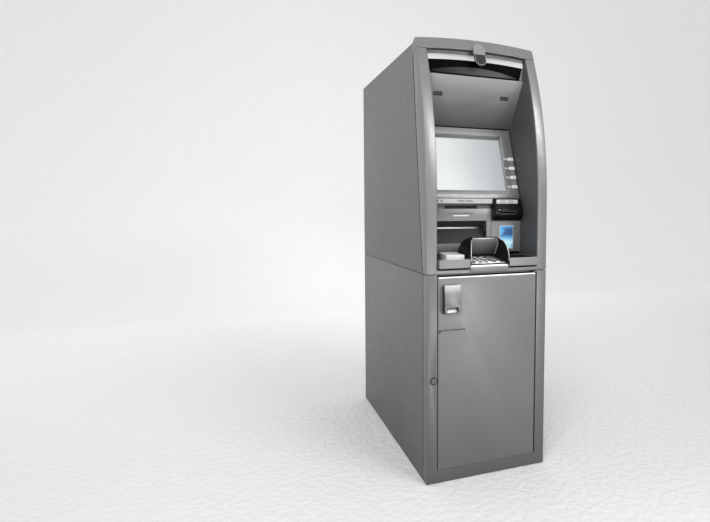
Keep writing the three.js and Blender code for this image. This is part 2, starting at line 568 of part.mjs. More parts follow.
// Four-sided funnel for the slopes round the window, wide at the face and closing inwards.
function screenFunnel() {
  const { half, z0, z1, bevel, slopeDeep } = SCREEN;
  const [halfHeight, centre] = [(z1 - z0) / 2, (z0 + z1) / 2];
  const overshoot = 0.2; // carries the slopes past the bezel's face
  const funnel = new THREE.CylinderGeometry(Math.SQRT1_2, Math.SQRT1_2, 1, 4).rotateY(Math.PI / 4);
  const position = funnel.attributes.position;
  for (let i = 0; i < position.count; i += 1) {
    const front = position.getY(i) < 0;
    const grow = front ? bevel * (1 + overshoot) : 0;
    position.setXYZ(i, Math.sign(position.getX(i)) * (half + grow),
      front ? -slopeDeep * overshoot : slopeDeep,
      Math.sign(position.getZ(i)) * (halfHeight + grow) + centre);
  }
  return solid(funnel);
}

// Display glass with its electronics box behind it.
function displayPanel() {
  const front = BEZEL.depth + 0.3;
  const back = front + DISPLAY.deep;
  const rear = DISPLAY_REAR;
  return joined(box(-DISPLAY.half, DISPLAY.half, front, back, DISPLAY.z0, DISPLAY.z1),
    box(-rear.half, rear.half, back - 1, back + rear.deep, rear.z0, rear.z1));
}

function sideKeyPlaces() {
  const places = [];
  for (const side of [-1, 1]) {
    for (let i = 0; i < SIDE_KEY.count; i += 1) {
      places.push([side * SIDE_KEY.x, SIDE_KEY.z0 + (SIDE_KEY.count - 1 - i) * SIDE_KEY.pitch]);
    }
  }
  return places;
}

function roundedKey(w, h, height, radius) {
  const shape = new THREE.Shape();
  const [a, b] = [w / 2 - radius, h / 2 - radius];
  shape.absarc(a, b, radius, 0, Math.PI / 2);
  shape.absarc(-a, b, radius, Math.PI / 2, Math.PI);
  shape.absarc(-a, -b, radius, Math.PI, (3 * Math.PI) / 2);
  shape.absarc(a, -b, radius, (3 * Math.PI) / 2, 2 * Math.PI);
  return extruded(shape, height, { curveSegments: 2 });
}

// ---------------------------------------------------------------- service panel
// Panel with the silver strip, the receipt slot, the card area and the deep cash mouth.
function servicePanel() {
  const back = PANEL_Y + 3;
  const left = -LINER_HALF + 0.7;
  const right = LINER_HALF - 0.7;
  const plates = joined(
    box(left, STRIP.x1, PANEL_Y, back, PANEL_BOTTOM, STRIP.z1),
    box(STRIP.x1 - 1, right, PANEL_Y - 3, back, PANEL_BOTTOM, READER.z0 - 1),
    acrossX([[back, STRIP.z0], [STRIP.y + 2, STRIP.z0], [STRIP.y, STRIP.z0 + 3], [STRIP.y, STRIP.z1 - 1],
      [STRIP.y + 1, STRIP.z1], [back, STRIP.z1]], left, STRIP.x1));
  const deepY = PANEL_Y + CASH.depth;
  const throat = box(CASH.x0 - 3, CASH.x1 + 3, PANEL_Y + 1, deepY + 8, CASH.z0 - 4, CASH.z1 + 3);
  const mouth = acrossX([[PANEL_Y - 1, CASH.z0], [PANEL_Y - 1, CASH.z1], [PANEL_Y + 2, CASH.z1],
    [deepY, CASH.slotZ1], [deepY, CASH.slotZ0], [PANEL_Y + 6, CASH.z0]], CASH.x0, CASH.x1);
  const slot = box(CASH.x0 + 13, CASH.x1 - 13, deepY - 1, deepY + 9, CASH.slotZ0, CASH.slotZ1);
  const groove = box(left - 1, STRIP.x1, PANEL_Y - 1, PANEL_Y + 1.5, GROOVE_Z0, STRIP.z0);
  const receipt = box(RECEIPT.x0, RECEIPT.x1, PANEL_Y - 1, back + 1, RECEIPT.z0, RECEIPT.z1);
  return cut(joined(plates, throat), mouth, slot, groove, receipt);
}

// Plate that closes the cash slot from behind.
function cashShutter() {
  const y = PANEL_Y + CASH.depth + 8.5;
  return box(CASH.x0 + 9, CASH.x1 - 9, y, y + 2, CASH.slotZ0 - 4.5, CASH.slotZ1 + 4.5);
}

// Bezel with a rounded bulge, and the transport that runs back from it.
function cardReader() {
  const { x0, x1, z0, z1, upperY, bulgeY } = READER;
  const bezel = acrossX([
    [upperY, z1], [upperY, z1 - 22], [bulgeY + 5, z1 - 26], [bulgeY, z1 - 34], [bulgeY, z0 + 26],
    [bulgeY + 4, z0 + 16], [upperY + 4, z0], [PANEL_Y + 4, z0], [PANEL_Y + 4, z1],
  ], x0, x1);
  const transport = box(x0 + 18, x1 - 18, PANEL_Y + 3, 320, z0 + 10, z1 - 8);
  const slot = box(CARD_SLOT.x0, CARD_SLOT.x1, bulgeY - 1, bulgeY + 60, CARD_SLOT.z0, CARD_SLOT.z1);
  return cut(joined(bezel, transport), slot);
}

// Print unit with a paper roll behind it and a mouth lined up with the receipt slot.
function receiptPrinter() {
  const { x0, x1, y1, z0, z1 } = PRINTER;
  const roll = PAPER_ROLL;
  const cheek = { thick: 8, y1: roll.y + 12, z0: roll.z - 25, z1: roll.z + 15 };
  const cheeks = [roll.x0 - cheek.thick, roll.x1].map((x) => box(
    x, x + cheek.thick, y1 - 10, cheek.y1, cheek.z0, cheek.z1));
  const body = joined(box(x0, x1, PANEL_Y + 3.5, y1, z0, z1),
    barX(roll.r, roll.x0, roll.x1, roll.y, roll.z, 20), ...cheeks);
  return cut(body, box(RECEIPT.x0 + 2, RECEIPT.x1 - 2, PANEL_Y, PANEL_Y + 40, RECEIPT.z0, RECEIPT.z1));
}

// ---------------------------------------------------------------- keypad and trays
// Local frame of the keypad: y runs up its slope, z is its normal.
function keypadPlate() {
  const { half, depth, thickness } = KEYPAD;
  const holes = KEY_COLUMNS.flatMap((x) => KEY_ROWS.map((y) => box(x - KEY.w / 2 - PART_GAP,
    x + KEY.w / 2 + PART_GAP, y - KEY.d / 2 - PART_GAP, y + KEY.d / 2 + PART_GAP, -thickness - 1, 1)));
  return cut(box(-half, half, 0, depth, -thickness, 0), ...holes);
}

// Front view of the hood: curved shoulders that widen down to the foot.
function shieldFront(inset) {
  const { footZ, crownZ, footHalf, topHalf, flatHalf } = SHIELD;
  const [shoulderLow, shoulderHigh] = [footZ + 20, crownZ - 8];
  const left = [[inset - footHalf, footZ - inset]];
  for (let i = 0; i <= 6; i += 1) {
    const angle = (i / 6) * (Math.PI / 2);
    left.push([inset - topHalf - (footHalf - topHalf) * Math.cos(angle),
      shoulderLow + (shoulderHigh - shoulderLow) * Math.sin(angle)]);
  }
  left.push([-flatHalf, crownZ + inset]);
  return [...left, ...left.map(([x, z]) => [-x, z]).reverse()];
}

// Side view of the hood: one arc rises to the crown and another falls to the back.
function shieldSide() {
  const { footZ, crownZ } = SHIELD;
  const { frontY, crownY, backY, frontZ, backZ } = SHIELD_SIDE;
  const points = [[frontY, footZ]];
  for (let i = 0; i <= 8; i += 1) {
    const angle = (i / 8) * (Math.PI / 2);
    points.push([crownY + (frontY - crownY) * Math.cos(angle), frontZ + (crownZ - frontZ) * Math.sin(angle)]);
  }
  for (let i = 1; i <= 8; i += 1) {
    const angle = (i / 8) * (Math.PI / 2);
    points.push([crownY + (backY - crownY) * Math.sin(angle), backZ + (crownZ - backZ) * Math.cos(angle)]);
  }
  return [...points, [backY, footZ]];
}

// Hood over the back of the keypad with curved side wings and a slanted inner face.
function pinShield() {
  const { topY, topZ, footY, footZ } = SHIELD_PANEL;
  const far = { front: -60, low: 700, high: 1000, half: 90 };
  const outer = acrossY(shieldFront(0), -30, 130).intersect(acrossX(shieldSide(), -far.half, far.half));
  const hollow = acrossX([[far.front, far.low], [far.front, far.high], [topY, far.high], [topY, topZ],
    [footY, footZ], [footY + 6, footZ], [footY + 6, far.low]], -far.half, far.half);
  return outer.subtract(acrossY(shieldFront(SHIELD.wall), -30, 130).intersect(hollow));
}

// Open bin with a small bevel along its front.
function tray(side) {
  const { x0, x1, y0, y1, z0, z1, wall } = TRAY;
  const bin = acrossX([[y0 + 3, z0], [y0, z0 + 2], [y0, z1 - 1], [y0 + 1, z1], [y1, z1], [y1, z0]], x0, x1);
  return mirrored(cut(bin, box(x0 + wall, x1 - wall, y0 + wall + 1, y1 - wall, z0 + wall, z1 + 1)), side);
}

// Block in the left tray with a glass on its slightly sloping top.
function scanner() {
  const { x0, x1, y0, y1, frontZ, backZ } = SCANNER;
  const foot = TRAY.z0 + TRAY.wall + PART_GAP;
  return acrossX([[y0 + 1, foot], [y0, frontZ], [y0 + 2, frontZ + 3], [y1 - 4, backZ], [y1, backZ - 3],
    [y1, foot]], x0, x1);
}

// ---------------------------------------------------------------- materials
function finish(color, roughness, metalness) {
  return new THREE.MeshStandardMaterial({ color, roughness, metalness });
}

const silverPaint = finish(0x8e9092, 0.42, 0.55);
const sidePaint = finish(0x7a7c7e, 0.48, 0.5);
const bezelPaint = finish(0xa3a5a7, 0.4, 0.5);
const linerPaint = finish(0x55575a, 0.5, 0.35);
const trayPaint = finish(0xa2a4a6, 0.45, 0.4);
const handleMetal = finish(0xd2d4d6, 0.28, 0.8);
const glossBlack = finish(0x0c0c0e, 0.18, 0.1);
const shieldPlastic = finish(0x1c1d20, 0.4, 0.1);
const keyMetal = finish(0xc9cbcc, 0.32, 0.75);
const keyPlastic = finish(0xf2f3f4, 0.35, 0.0);
const lightPlastic = finish(0xfafafa, 0.3, 0.0);
const displayGlass = finish(0xc8cfd1, 0.12, 0.0);
const safeSteel = finish(0x4b4e52, 0.55, 0.7);
const darkPlastic = finish(0x2b2c2f, 0.5, 0.1);
const boltSteel = finish(0xb4b6b8, 0.3, 0.9);

// ---------------------------------------------------------------- assembly
function place(parent, name, shape, material) {
  const mesh = new THREE.Mesh(shape.isBufferGeometry ? shape : geometryOf(shape), material);
  mesh.name = name;
  parent.add(mesh);
  return mesh;
}

function cabinetAssembly() {
  const group = new THREE.Group();
  place(group, 'base_plate', basePlate(), safeSteel);
  place(group, 'left_side_lower', sideLower(-1), sidePaint);
  place(group, 'right_side_lower', sideLower(1), sidePaint);
  place(group, 'rear_panel_lower', rearLower(), sidePaint);
  place(group, 'left_side_upper', sideUpper(-1), sidePaint);
  place(group, 'right_side_upper', sideUpper(1), sidePaint);
  place(group, 'rear_panel_upper', rearUpper(), sidePaint);
  place(group, 'top_panel', topPanel(), sidePaint);
  place(group, 'lower_front_frame', lowerFrontFrame(), silverPaint);
  place(group, 'safe_body', safeBody(), safeSteel);
  place(group, 'cash_dispenser', cashDispenser(), darkPlastic);
  place(group, 'cash_cassette', cashCassette(), darkPlastic);
  place(group, 'computer', computer(), safeSteel);
  place(group, 'cabinet_door', cabinetDoor(), silverPaint);
  place(group, 'door_handle', doorHandle(), handleMetal);
  place(group, 'key_lock', keyLock(), boltSteel);
  place(group, 'safe_door', safeDoor(), safeSteel);
  place(group, 'safe_handle', safeHandle(), boltSteel);
  place(group, 'bolt_bar', boltBar(), boltSteel);
  return group;
}

function screenAssembly() {
  const group = new THREE.Group();
  group.position.set(0, SCREEN_FOOT.y, SCREEN_FOOT.z);
  group.rotation.x = -SCREEN_TILT;
  place(group, 'screen_bezel', screenBezel(), bezelPaint);
  place(group, 'display_panel', displayPanel(), displayGlass);
  sideKeyPlaces().forEach(([x, z], i) => {
    const side = x < 0 ? 'left' : 'right';
    const key = roundedKey(SIDE_KEY.w, SIDE_KEY.h, BEZEL.depth - 2 + SIDE_KEY.proud, 2);
    key.rotateX(Math.PI / 2).translate(0, BEZEL.depth - 2, 0);
    place(group, `screen_key_${side}_${(i % SIDE_KEY.count) + 1}`, key, keyPlastic).position.set(x, 0, z);
  });
  return group;
}

function keypadAssembly() {
  const group = new THREE.Group();
  group.position.set(0, KEYPAD.y, KEYPAD.z);
  group.rotation.x = KEYPAD.tilt;
  place(group, 'keypad_plate', keypadPlate(), keyMetal);
  KEY_ROWS.forEach((y, row) => KEY_COLUMNS.forEach((x, column) => {
    const key = roundedKey(KEY.w, KEY.d, KEY.body, 2);
    key.translate(0, 0, KEY.proud - KEY.body);
    place(group, `pin_key_${KEY_ROWS.length - row}_${column + 1}`, key, keyMetal).position.set(x, y, 0);
  }));
  return group;
}

function fasciaAssembly() {
  const group = new THREE.Group();
  place(group, 'fascia_frame', fasciaFrame(), silverPaint);
  place(group, 'fascia_cap', fasciaCap(), silverPaint);
  const pod = place(group, 'camera_pod', cameraPod(), glossBlack);
  pod.position.set(0, arcY(POD.z - CAP_ARCH) - 1, POD.z);
  pod.rotation.x = -Math.asin((POD.z - BEND_Z) / ARC_RADIUS);
  place(group, 'light_strip', lightStrip(), lightPlastic);
  place(group, 'visor_band', visorBand(), glossBlack);
  place(group, 'recess_liner', recessLiner(), linerPaint);
  place(group, 'service_panel', servicePanel(), bezelPaint);
  place(group, 'cash_shutter', cashShutter(), boltSteel);
  place(group, 'card_reader', cardReader(), glossBlack);
  place(group, 'receipt_printer', receiptPrinter(), darkPlastic);
  place(group, 'pin_shield', pinShield(), shieldPlastic);
  place(group, 'left_tray', tray(-1), trayPaint);
  place(group, 'right_tray', tray(1), trayPaint);
  place(group, 'scanner', scanner(), lightPlastic);
  group.add(screenAssembly(), keypadAssembly());
  return group;
}

const machine = new THREE.Group();
machine.position.y = -(DEPTH - FRONT_REACH) / 2;
machine.add(cabinetAssembly(), fasciaAssembly());

export default machine;
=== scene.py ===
"""Looks of a free-standing cash machine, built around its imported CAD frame."""
import json
import math

import bmesh
import bpy
from mathutils import Matrix, Vector


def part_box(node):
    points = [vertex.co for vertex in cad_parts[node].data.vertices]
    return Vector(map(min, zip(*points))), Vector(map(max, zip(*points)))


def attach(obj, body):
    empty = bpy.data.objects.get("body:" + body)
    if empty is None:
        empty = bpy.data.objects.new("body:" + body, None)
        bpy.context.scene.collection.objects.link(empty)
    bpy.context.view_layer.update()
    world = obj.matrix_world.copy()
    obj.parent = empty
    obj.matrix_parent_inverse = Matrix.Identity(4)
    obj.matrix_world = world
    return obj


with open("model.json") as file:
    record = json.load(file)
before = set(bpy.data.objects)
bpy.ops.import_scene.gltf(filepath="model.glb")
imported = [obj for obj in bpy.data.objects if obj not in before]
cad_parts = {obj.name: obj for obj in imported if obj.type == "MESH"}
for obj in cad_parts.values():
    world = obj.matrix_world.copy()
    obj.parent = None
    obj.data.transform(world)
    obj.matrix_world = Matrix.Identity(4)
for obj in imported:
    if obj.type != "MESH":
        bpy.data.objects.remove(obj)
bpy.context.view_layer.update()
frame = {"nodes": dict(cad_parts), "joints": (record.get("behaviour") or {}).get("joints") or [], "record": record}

# ------------------------------------------------------------------ places, from the frame
MM = 0.001
FRONT_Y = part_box("lower_front_frame")[0].y  # front plane of the lower front frame
JOINTS = {joint["name"]: joint for joint in frame["joints"]}
SCREEN_TILT = math.asin(-JOINTS["screen_key_left_1_press"]["axis"][2])
KEYPAD_TILT = math.asin(JOINTS["pin_key_1_1_press"]["axis"][1])
BEZEL_DEPTH = 8 * MM
BEZEL_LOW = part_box("screen_bezel")[0]
SCREEN_FOOT = Vector((0, BEZEL_LOW.y, BEZEL_LOW.z + BEZEL_DEPTH * math.sin(SCREEN_TILT)))


def at(x, y, z):
    """A point given in millimetres: x from the middle, y from the front plane, z from the floor."""
    return Vector((x * MM, FRONT_Y + y * MM, z * MM))


def facing_front(x, y, z):
    """A frame whose local x runs right, local y runs up and local z comes out of the front."""
    return Matrix.Translation(at(x, y, z)) @ Matrix.Rotation(math.pi / 2, 4, "X")


def on_screen(x, z, proud=0.0):
    """The same kind of frame on the tilted bezel; z runs up the bezel, in millimetres."""
    tilt = Matrix.Translation(SCREEN_FOOT) @ Matrix.Rotation(-SCREEN_TILT, 4, "X")
    return tilt @ Matrix.Translation(Vector((x, -proud, z)) * MM) @ Matrix.Rotation(math.pi / 2, 4, "X")


# Places taken from the CAD's design, in at() millimetres
PROUD = 0.02  # how far a flat piece's back stands out of the surface behind it
CEILING_BACK = (217, 1299)  # y and z of the sloping ceiling's two edges
CEILING_FRONT = (114, 1467)
CEILING_WINDOW = (139, 1405)  # x and z of the middle of its two windows
POD_SPLIT_Z = 1541  # where the camera housing changes from paint to smoked window
GROOVE_Y = (122.7, 123.1)  # the service panel turns dark over this depth
# heights over which the cash mouth's roof turns to its paler painted light
MOUTH_ROOF_Z = (909, 910)
VISOR_HALF = 180
HOOD_PANEL_Z = (806, 868)
SIGN_Z = (822, 910)
MACHINE_DEPTH = 900


# ------------------------------------------------------------------ material building blocks
class Shader:
    """A Principled material with short helpers for its node tree."""

    def __init__(self, name, color, roughness, metallic=0.0, specular=0.5):
        self.material = bpy.data.materials.new(name)
        self.material.use_nodes = True
        self.nodes = self.material.node_tree.nodes
        self.links = self.material.node_tree.links
        self.bsdf = self.nodes["Principled BSDF"]
        self.bsdf.inputs["Base Color"].default_value = (*color, 1.0)
        self.bsdf.inputs["Roughness"].default_value = roughness
        self.bsdf.inputs["Metallic"].default_value = metallic
        self.bsdf.inputs["Specular IOR Level"].default_value = specular
        self.place = self.nodes.new("ShaderNodeTexCoord").outputs["Object"]

    def noise(self, scale, detail=2.0, stretch=None):
        vector = self.place
        if stretch:
            mapping = self.nodes.new("ShaderNodeMapping")
            mapping.inputs["Scale"].default_value = stretch
            self.links.new(vector, mapping.inputs["Vector"])
            vector = mapping.outputs["Vector"]
        node = self.nodes.new("ShaderNodeTexNoise")
        node.inputs["Scale"].default_value = scale
        node.inputs["Detail"].default_value = detail
        self.links.new(vector, node.inputs["Vector"])
        return node.outputs["Fac"]

    def ramp(self, factor, stops):
        node = self.nodes.new("ShaderNodeValToRGB")
        elements = node.color_ramp.elements
        while len(elements) < len(stops):
            elements.new(0.5)
        for element, (position, color) in zip(elements, stops):
            element.position = position
            element.color = (*color, 1.0)
        self.links.new(factor, node.inputs["Fac"])
        return node.outputs["Color"]

    def span(self, factor, low, high, start=0.3, stop=0.7):
        node = self.nodes.new("ShaderNodeMapRange")
        node.inputs["From Min"].default_value = start
        node.inputs["From Max"].default_value = stop
        node.inputs["To Min"].default_value = low
        node.inputs["To Max"].default_value = high
        self.links.new(factor, node.inputs["Value"])
        return node.outputs["Result"]

    def mixed(self, a, b, factor, blend="MULTIPLY"):
        node = self.nodes.new("ShaderNodeMix")
        node.data_type = "RGBA"
        node.blend_type = blend
        node.inputs[0].default_value = factor
        self.links.new(a, node.inputs[6])
        self.links.new(b, node.inputs[7])
        return node.outputs[2]

    def color(self, output):
        self.links.new(output, self.bsdf.inputs["Base Color"])

    def roughness(self, output):
        self.links.new(output, self.bsdf.inputs["Roughness"])

    def bump(self, height, strength, distance):
        node = self.nodes.new("ShaderNodeBump")
        node.inputs["Strength"].default_value = strength
        node.inputs["Distance"].default_value = distance
        self.links.new(height, node.inputs["Height"])
        self.links.new(node.outputs["Normal"], self.bsdf.inputs["Normal"])

    def gradient(self, low, high, axis):
        """0 to 1 along one object axis between two places in metres."""
        split = self.nodes.new("ShaderNodeSeparateXYZ")
        self.links.new(self.place, split.inputs["Vector"])
        return self.span(split.outputs["XYZ".index(axis)], 0.0, 1.0, low, high)

    def part_of(self, axis, low, high):
        """0 below one place and 1 above another, on the size of one object coordinate."""
        split = self.nodes.new("ShaderNodeSeparateXYZ")
        self.links.new(self.place, split.inputs["Vector"])
        size = self.nodes.new("ShaderNodeMath")
        size.operation = "ABSOLUTE"
        self.links.new(split.outputs["XYZ".index(axis)], size.inputs[0])
        return self.span(size.outputs[0], 0.0, 1.0, low, high)

    def blended(self, a, b, share):
        """Colour a where share is 0 and colour b where it is 1."""
        node = self.nodes.new("ShaderNodeMix")
        node.data_type = "RGBA"
        self.links.new(share, node.inputs[0])
        for value, socket in ((a, node.inputs[6]), (b, node.inputs[7])):
            if isinstance(value, tuple):
                socket.default_value = (*value, 1.0)
            else:
                self.links.new(value, socket)
        return node.outputs[2]

    def glow(self, output, strength):
        self.links.new(output, self.bsdf.inputs["Emission Color"])
        self.bsdf.inputs["Emission Strength"].default_value = strength


def scaled(color, factor):
    return tuple(min(1.0, channel * factor) for channel in color)


FOOT_SHADE = 0.70  # share of the paint's colour left at the floor, for the fall of the room's light
FOOT_HEIGHT = 0.7  # metres up to where the paint has its full colour


def metallic_paint(name, color, roughness=0.38, metallic=0.45, peel=0.2):
    """Powder coat with fine metal flakes, faint clouding and orange peel, with painted shade darkening it towards
    the floor.
    """
    shader = Shader(name, color, roughness, metallic)
    flakes = shader.ramp(shader.noise(2600, 1.0), [(0.38, scaled(color, 0.88)), (0.62, scaled(color, 1.12))])
    clouds = shader.ramp(shader.noise(3.0, 3.0), [(0.3, (0.93, 0.93, 0.935)), (0.7, (1, 1, 1))])
    foot = shader.ramp(shader.gradient(0.0, FOOT_HEIGHT, "Z"), [(0.0, (FOOT_SHADE,) * 3), (1.0, (1, 1, 1))])
    shader.color(shader.mixed(shader.mixed(flakes, clouds, 1.0), foot, 1.0))
    shader.roughness(shader.span(shader.noise(45, 3.0), roughness - 0.04, roughness + 0.05))
    shader.bump(shader.noise(900, 2.0), peel, 0.0002)
    shader.bsdf.inputs["Coat Weight"].default_value = 0.15
    shader.bsdf.inputs["Coat Roughness"].default_value = 0.25
    return shader.material


def brushed_metal(name, color, roughness=0.3, stretch=(1, 60, 60)):
    """Bare metal with fine straight scratches along one axis."""
    shader = Shader(name, color, roughness, 0.9)
    grain = shader.noise(160, 4.0, stretch)
    shader.color(shader.ramp(grain, [(0.3, scaled(color, 0.82)), (0.7, scaled(color, 1.08))]))
    shader.roughness(shader.span(grain, roughness - 0.06, roughness + 0.1))
    shader.bump(grain, 0.15, 0.0001)
    return shader.material


def satin_metal(name, color, roughness):
    """Smooth satin metal with very faint brushing."""
    shader = Shader(name, color, roughness, 0.55)
    grain = shader.noise(140, 3.0, (40, 40, 1))
    shader.color(shader.ramp(grain, [(0.3, scaled(color, 0.96)), (0.7, scaled(color, 1.04))]))
    shader.roughness(shader.span(grain, roughness - 0.03, roughness + 0.04))
    shader.bump(shader.noise(500, 1.0), 0.03, 0.0001)
    return shader.material


def handle_satin_painted_shade():
    """Satin metal with painted light: a painted highlight at the top of its front, painted shade lower down and a
    painted shadow down its outer side.
    """
    low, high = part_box("door_handle")
    shader = Shader("handle_satin_painted_shade", (0.4, 0.4, 0.4), 0.34, 0.35)
    height = shader.gradient(low.z, high.z, "Z")
    painted_front_light = shader.ramp(height, [(0.0, (0.11, 0.11, 0.112)), (0.25, (0.14, 0.14, 0.142)),
                                 (0.7, (0.2, 0.2, 0.202)), (0.95, (0.45, 0.45, 0.45))])
    past_side_shadow = shader.gradient(low.x + 1.2 * MM, low.x + 2.4 * MM, "X")
    shader.color(shader.blended((0.03, 0.03, 0.031), painted_front_light, past_side_shadow))
    shader.bump(shader.noise(500, 1.0), 0.03, 0.0001)
    return shader.material


def moulded_plastic(name, color, roughness, grain=0.2, specular=0.5):
    """Plastic with a fine moulded texture and slight shade differences."""
    shader = Shader(name, color, roughness, 0.0, specular)
    shade = shader.noise(60, 3.0)
    shader.color(shader.ramp(shade, [(0.3, scaled(color, 0.9)), (0.7, scaled(color, 1.1))]))
    shader.roughness(shader.span(shader.noise(25, 2.0), roughness - 0.04, roughness + 0.06))
    shader.bump(shader.noise(1500, 2.0), grain, 0.0002)
    return shader.material


def textured_coating(name, color):
    """Coarse dark coating used on the safe."""
    shader = Shader(name, color, 0.6, 0.1)
    shader.color(shader.ramp(shader.noise(300, 4.0), [(0.3, scaled(color, 0.8)), (0.7, scaled(color, 1.2))]))
    shader.bump(shader.noise(420, 4.0), 0.6, 0.0005)
    return shader.material


def idle_display():
    """Idle screen behind glass: a soft gradient, bright on the left and grey on the right."""
    low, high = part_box("display_panel")
    shader = Shader("display_glass", (0.02, 0.022, 0.024), 0.3, 0.0, 0.1)
    picture = shader.ramp(shader.gradient(low.x, high.x, "X"),
                          [(0.0, (0.84, 0.86, 0.85)), (0.25, (0.79, 0.82, 0.81)),
                           (0.6, (0.60, 0.63, 0.64)), (1.0, (0.44, 0.47, 0.49))])
    shader.glow(picture, 0.95)
    shader.roughness(shader.span(shader.noise(12, 2.0), 0.26, 0.36))
    return shader.material


def lit_diffuser(name, low, high):
    """White diffuser lit from behind, with painted shade greying it along its top; low and high are its heights in
    metres.
    """
    shader = Shader(name, (0.12, 0.12, 0.12), 0.5, 0.0, 0.1)
    height = shader.gradient(low, high, "Z")
    shades = [(0.0, (0.62, 0.62, 0.62)), (0.6, (0.45, 0.45, 0.45)), (1.0, (0.12, 0.12, 0.12))]
    shader.glow(shader.ramp(height, shades), 1.0)
    shader.bump(shader.noise(700, 1.0), 0.1, 0.0001)
    return shader.material


def recess_paint_and_painted_light(name, wall, ceiling_shaded, ceiling_lit):
    """Recess paint: dark side walls, and a ceiling with painted light from the lamp at its top, paler towards the
    lamp.
    """
    shader = Shader(name, wall, 0.5, 0.2)
    low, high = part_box("recess_liner")
    ceiling = shader.ramp(shader.gradient(CEILING_BACK[1] * MM, CEILING_FRONT[1] * MM, "Z"),
                          [(0.0, ceiling_shaded), (0.45, scaled(ceiling_shaded, 1.8)), (1.0, ceiling_lit)])
    walls = shader.part_of("X", high.x - 2.6 * MM, high.x - 2.2 * MM)
    flat = shader.blended(ceiling, wall, walls)
    speckle = shader.ramp(shader.noise(2200, 1.0), [(0.38, (0.9, 0.9, 0.9)), (0.62, (1, 1, 1))])
    shader.color(shader.mixed(flat, speckle, 1.0))
    shader.bump(shader.noise(900, 2.0), 0.15, 0.0002)
    return shader.material


def panel_paint(name, color, dark):
    """Silver panel that turns dark in its slots, groove and deep cash mouth; painted light makes the mouth's roof
    above the slot paler.
    """
    shader = Shader(name, color, 0.4, 0.3)
    flakes = shader.ramp(shader.noise(2600, 1.0), [(0.38, scaled(color, 0.88)), (0.62, scaled(color, 1.12))])
    grain = shader.ramp(shader.noise(1500, 2.0), [(0.3, scaled(dark, 0.85)), (0.7, scaled(dark, 1.2))])
    inside = shader.gradient(*(at(0, y, 0).y for y in GROOVE_Y), "Y")
    painted_lit_roof = shader.gradient(*(at(0, 0, z).z for z in MOUTH_ROOF_Z), "Z")
    shades = shader.blended(grain, scaled(dark, 3.2), painted_lit_roof)
    shader.color(shader.blended(flakes, shades, inside))
    shader.roughness(shader.span(shader.noise(45, 3.0), 0.36, 0.45))
    shader.bump(shader.noise(900, 2.0), 0.15, 0.0002)
    return shader.material


def pod_finish(name, upper, lower):
    """Camera housing: painted like the hood above its middle line and a smoked window below."""
    shader = Shader(name, upper, 0.3, 0.2)
    shade = shader.ramp(shader.noise(40, 2.0), [(0.3, scaled(upper, 0.95)), (0.7, scaled(upper, 1.05))])
    split = at(0, 0, POD_SPLIT_Z).z
    shader.color(shader.blended(lower, shade, shader.gradient(split, split + 0.5 * MM, "Z")))
    shader.roughness(shader.span(shader.noise(25, 2.0), 0.22, 0.3))
    shader.bump(shader.noise(900, 2.0), 0.05, 0.0001)
    return shader.material


def crescent_sheen():
    """Sheen across the black band: dark at its ends and palest right of the middle."""
    shader = Shader("crescent", (0.08, 0.08, 0.08), 0.55, 0.0, 0.1)
    width = shader.gradient(at(-VISOR_HALF, 0, 0).x, at(VISOR_HALF, 0, 0).x, "X")
    shader.color(shader.ramp(width, [(0.0, (0.002, 0.002, 0.002)), (0.2, (0.016, 0.016, 0.016)),
                                     (0.55, (0.05, 0.05, 0.051)), (0.8, (0.06, 0.06, 0.061)),
                                     (1.0, (0.002, 0.002, 0.002))]))
    shader.bump(shader.noise(500, 1.0), 0.02, 0.0001)
    return shader.material


def shield_panel_painted_shade():
    """Inner panel of the keypad's hood with painted light and shade: pale at its top and dark at its foot."""
    shader = Shader("panel_grey", (0.22, 0.222, 0.225), 0.35, 0.2)
    height = shader.gradient(*(at(0, 0, z).z for z in HOOD_PANEL_Z), "Z")
    shader.color(shader.ramp(height, [(0.0, (0.035, 0.035, 0.036)), (0.3, (0.09, 0.09, 0.092)),
                                      (0.75, (0.15, 0.151, 0.154)), (1.0, (0.3, 0.302, 0.306))]))
    shader.bump(shader.noise(60, 2.0, (6.0, 0.2, 0.2)), 0.15, 0.0003)
    return shader.material


def card_picture():
    """Abstract blue pattern for the card sign: navy at the top, pale ice blue at the foot."""
    shader = Shader("card_picture", (0.1, 0.3, 0.6), 0.35)
    height = shader.gradient(*(at(0, 0, z).z for z in SIGN_Z), "Z")
    tones = shader.ramp(height, [(0.0, (0.45, 0.8, 0.9)), (0.3, (0.55, 0.85, 0.93)),
                                 (0.5, (0.1, 0.4, 0.66)), (0.62, (0.03, 0.1, 0.26)),
                                 (0.85, (0.02, 0.07, 0.22)), (1.0, (0.06, 0.28, 0.55))])
    wave = shader.noise(26, 3.0, (1.0, 1.0, 0.45))
    marks = shader.ramp(wave, [(0.40, (0, 0, 0)), (0.52, (0, 0, 0)), (0.58, (1, 1, 1))])
    shader.color(shader.blended(tones, (0.06, 0.36, 0.68), marks))
    shader.bsdf.inputs["Coat Weight"].default_value = 0.3
    shader.bsdf.inputs["Coat Roughness"].default_value = 0.1
    return shader.material


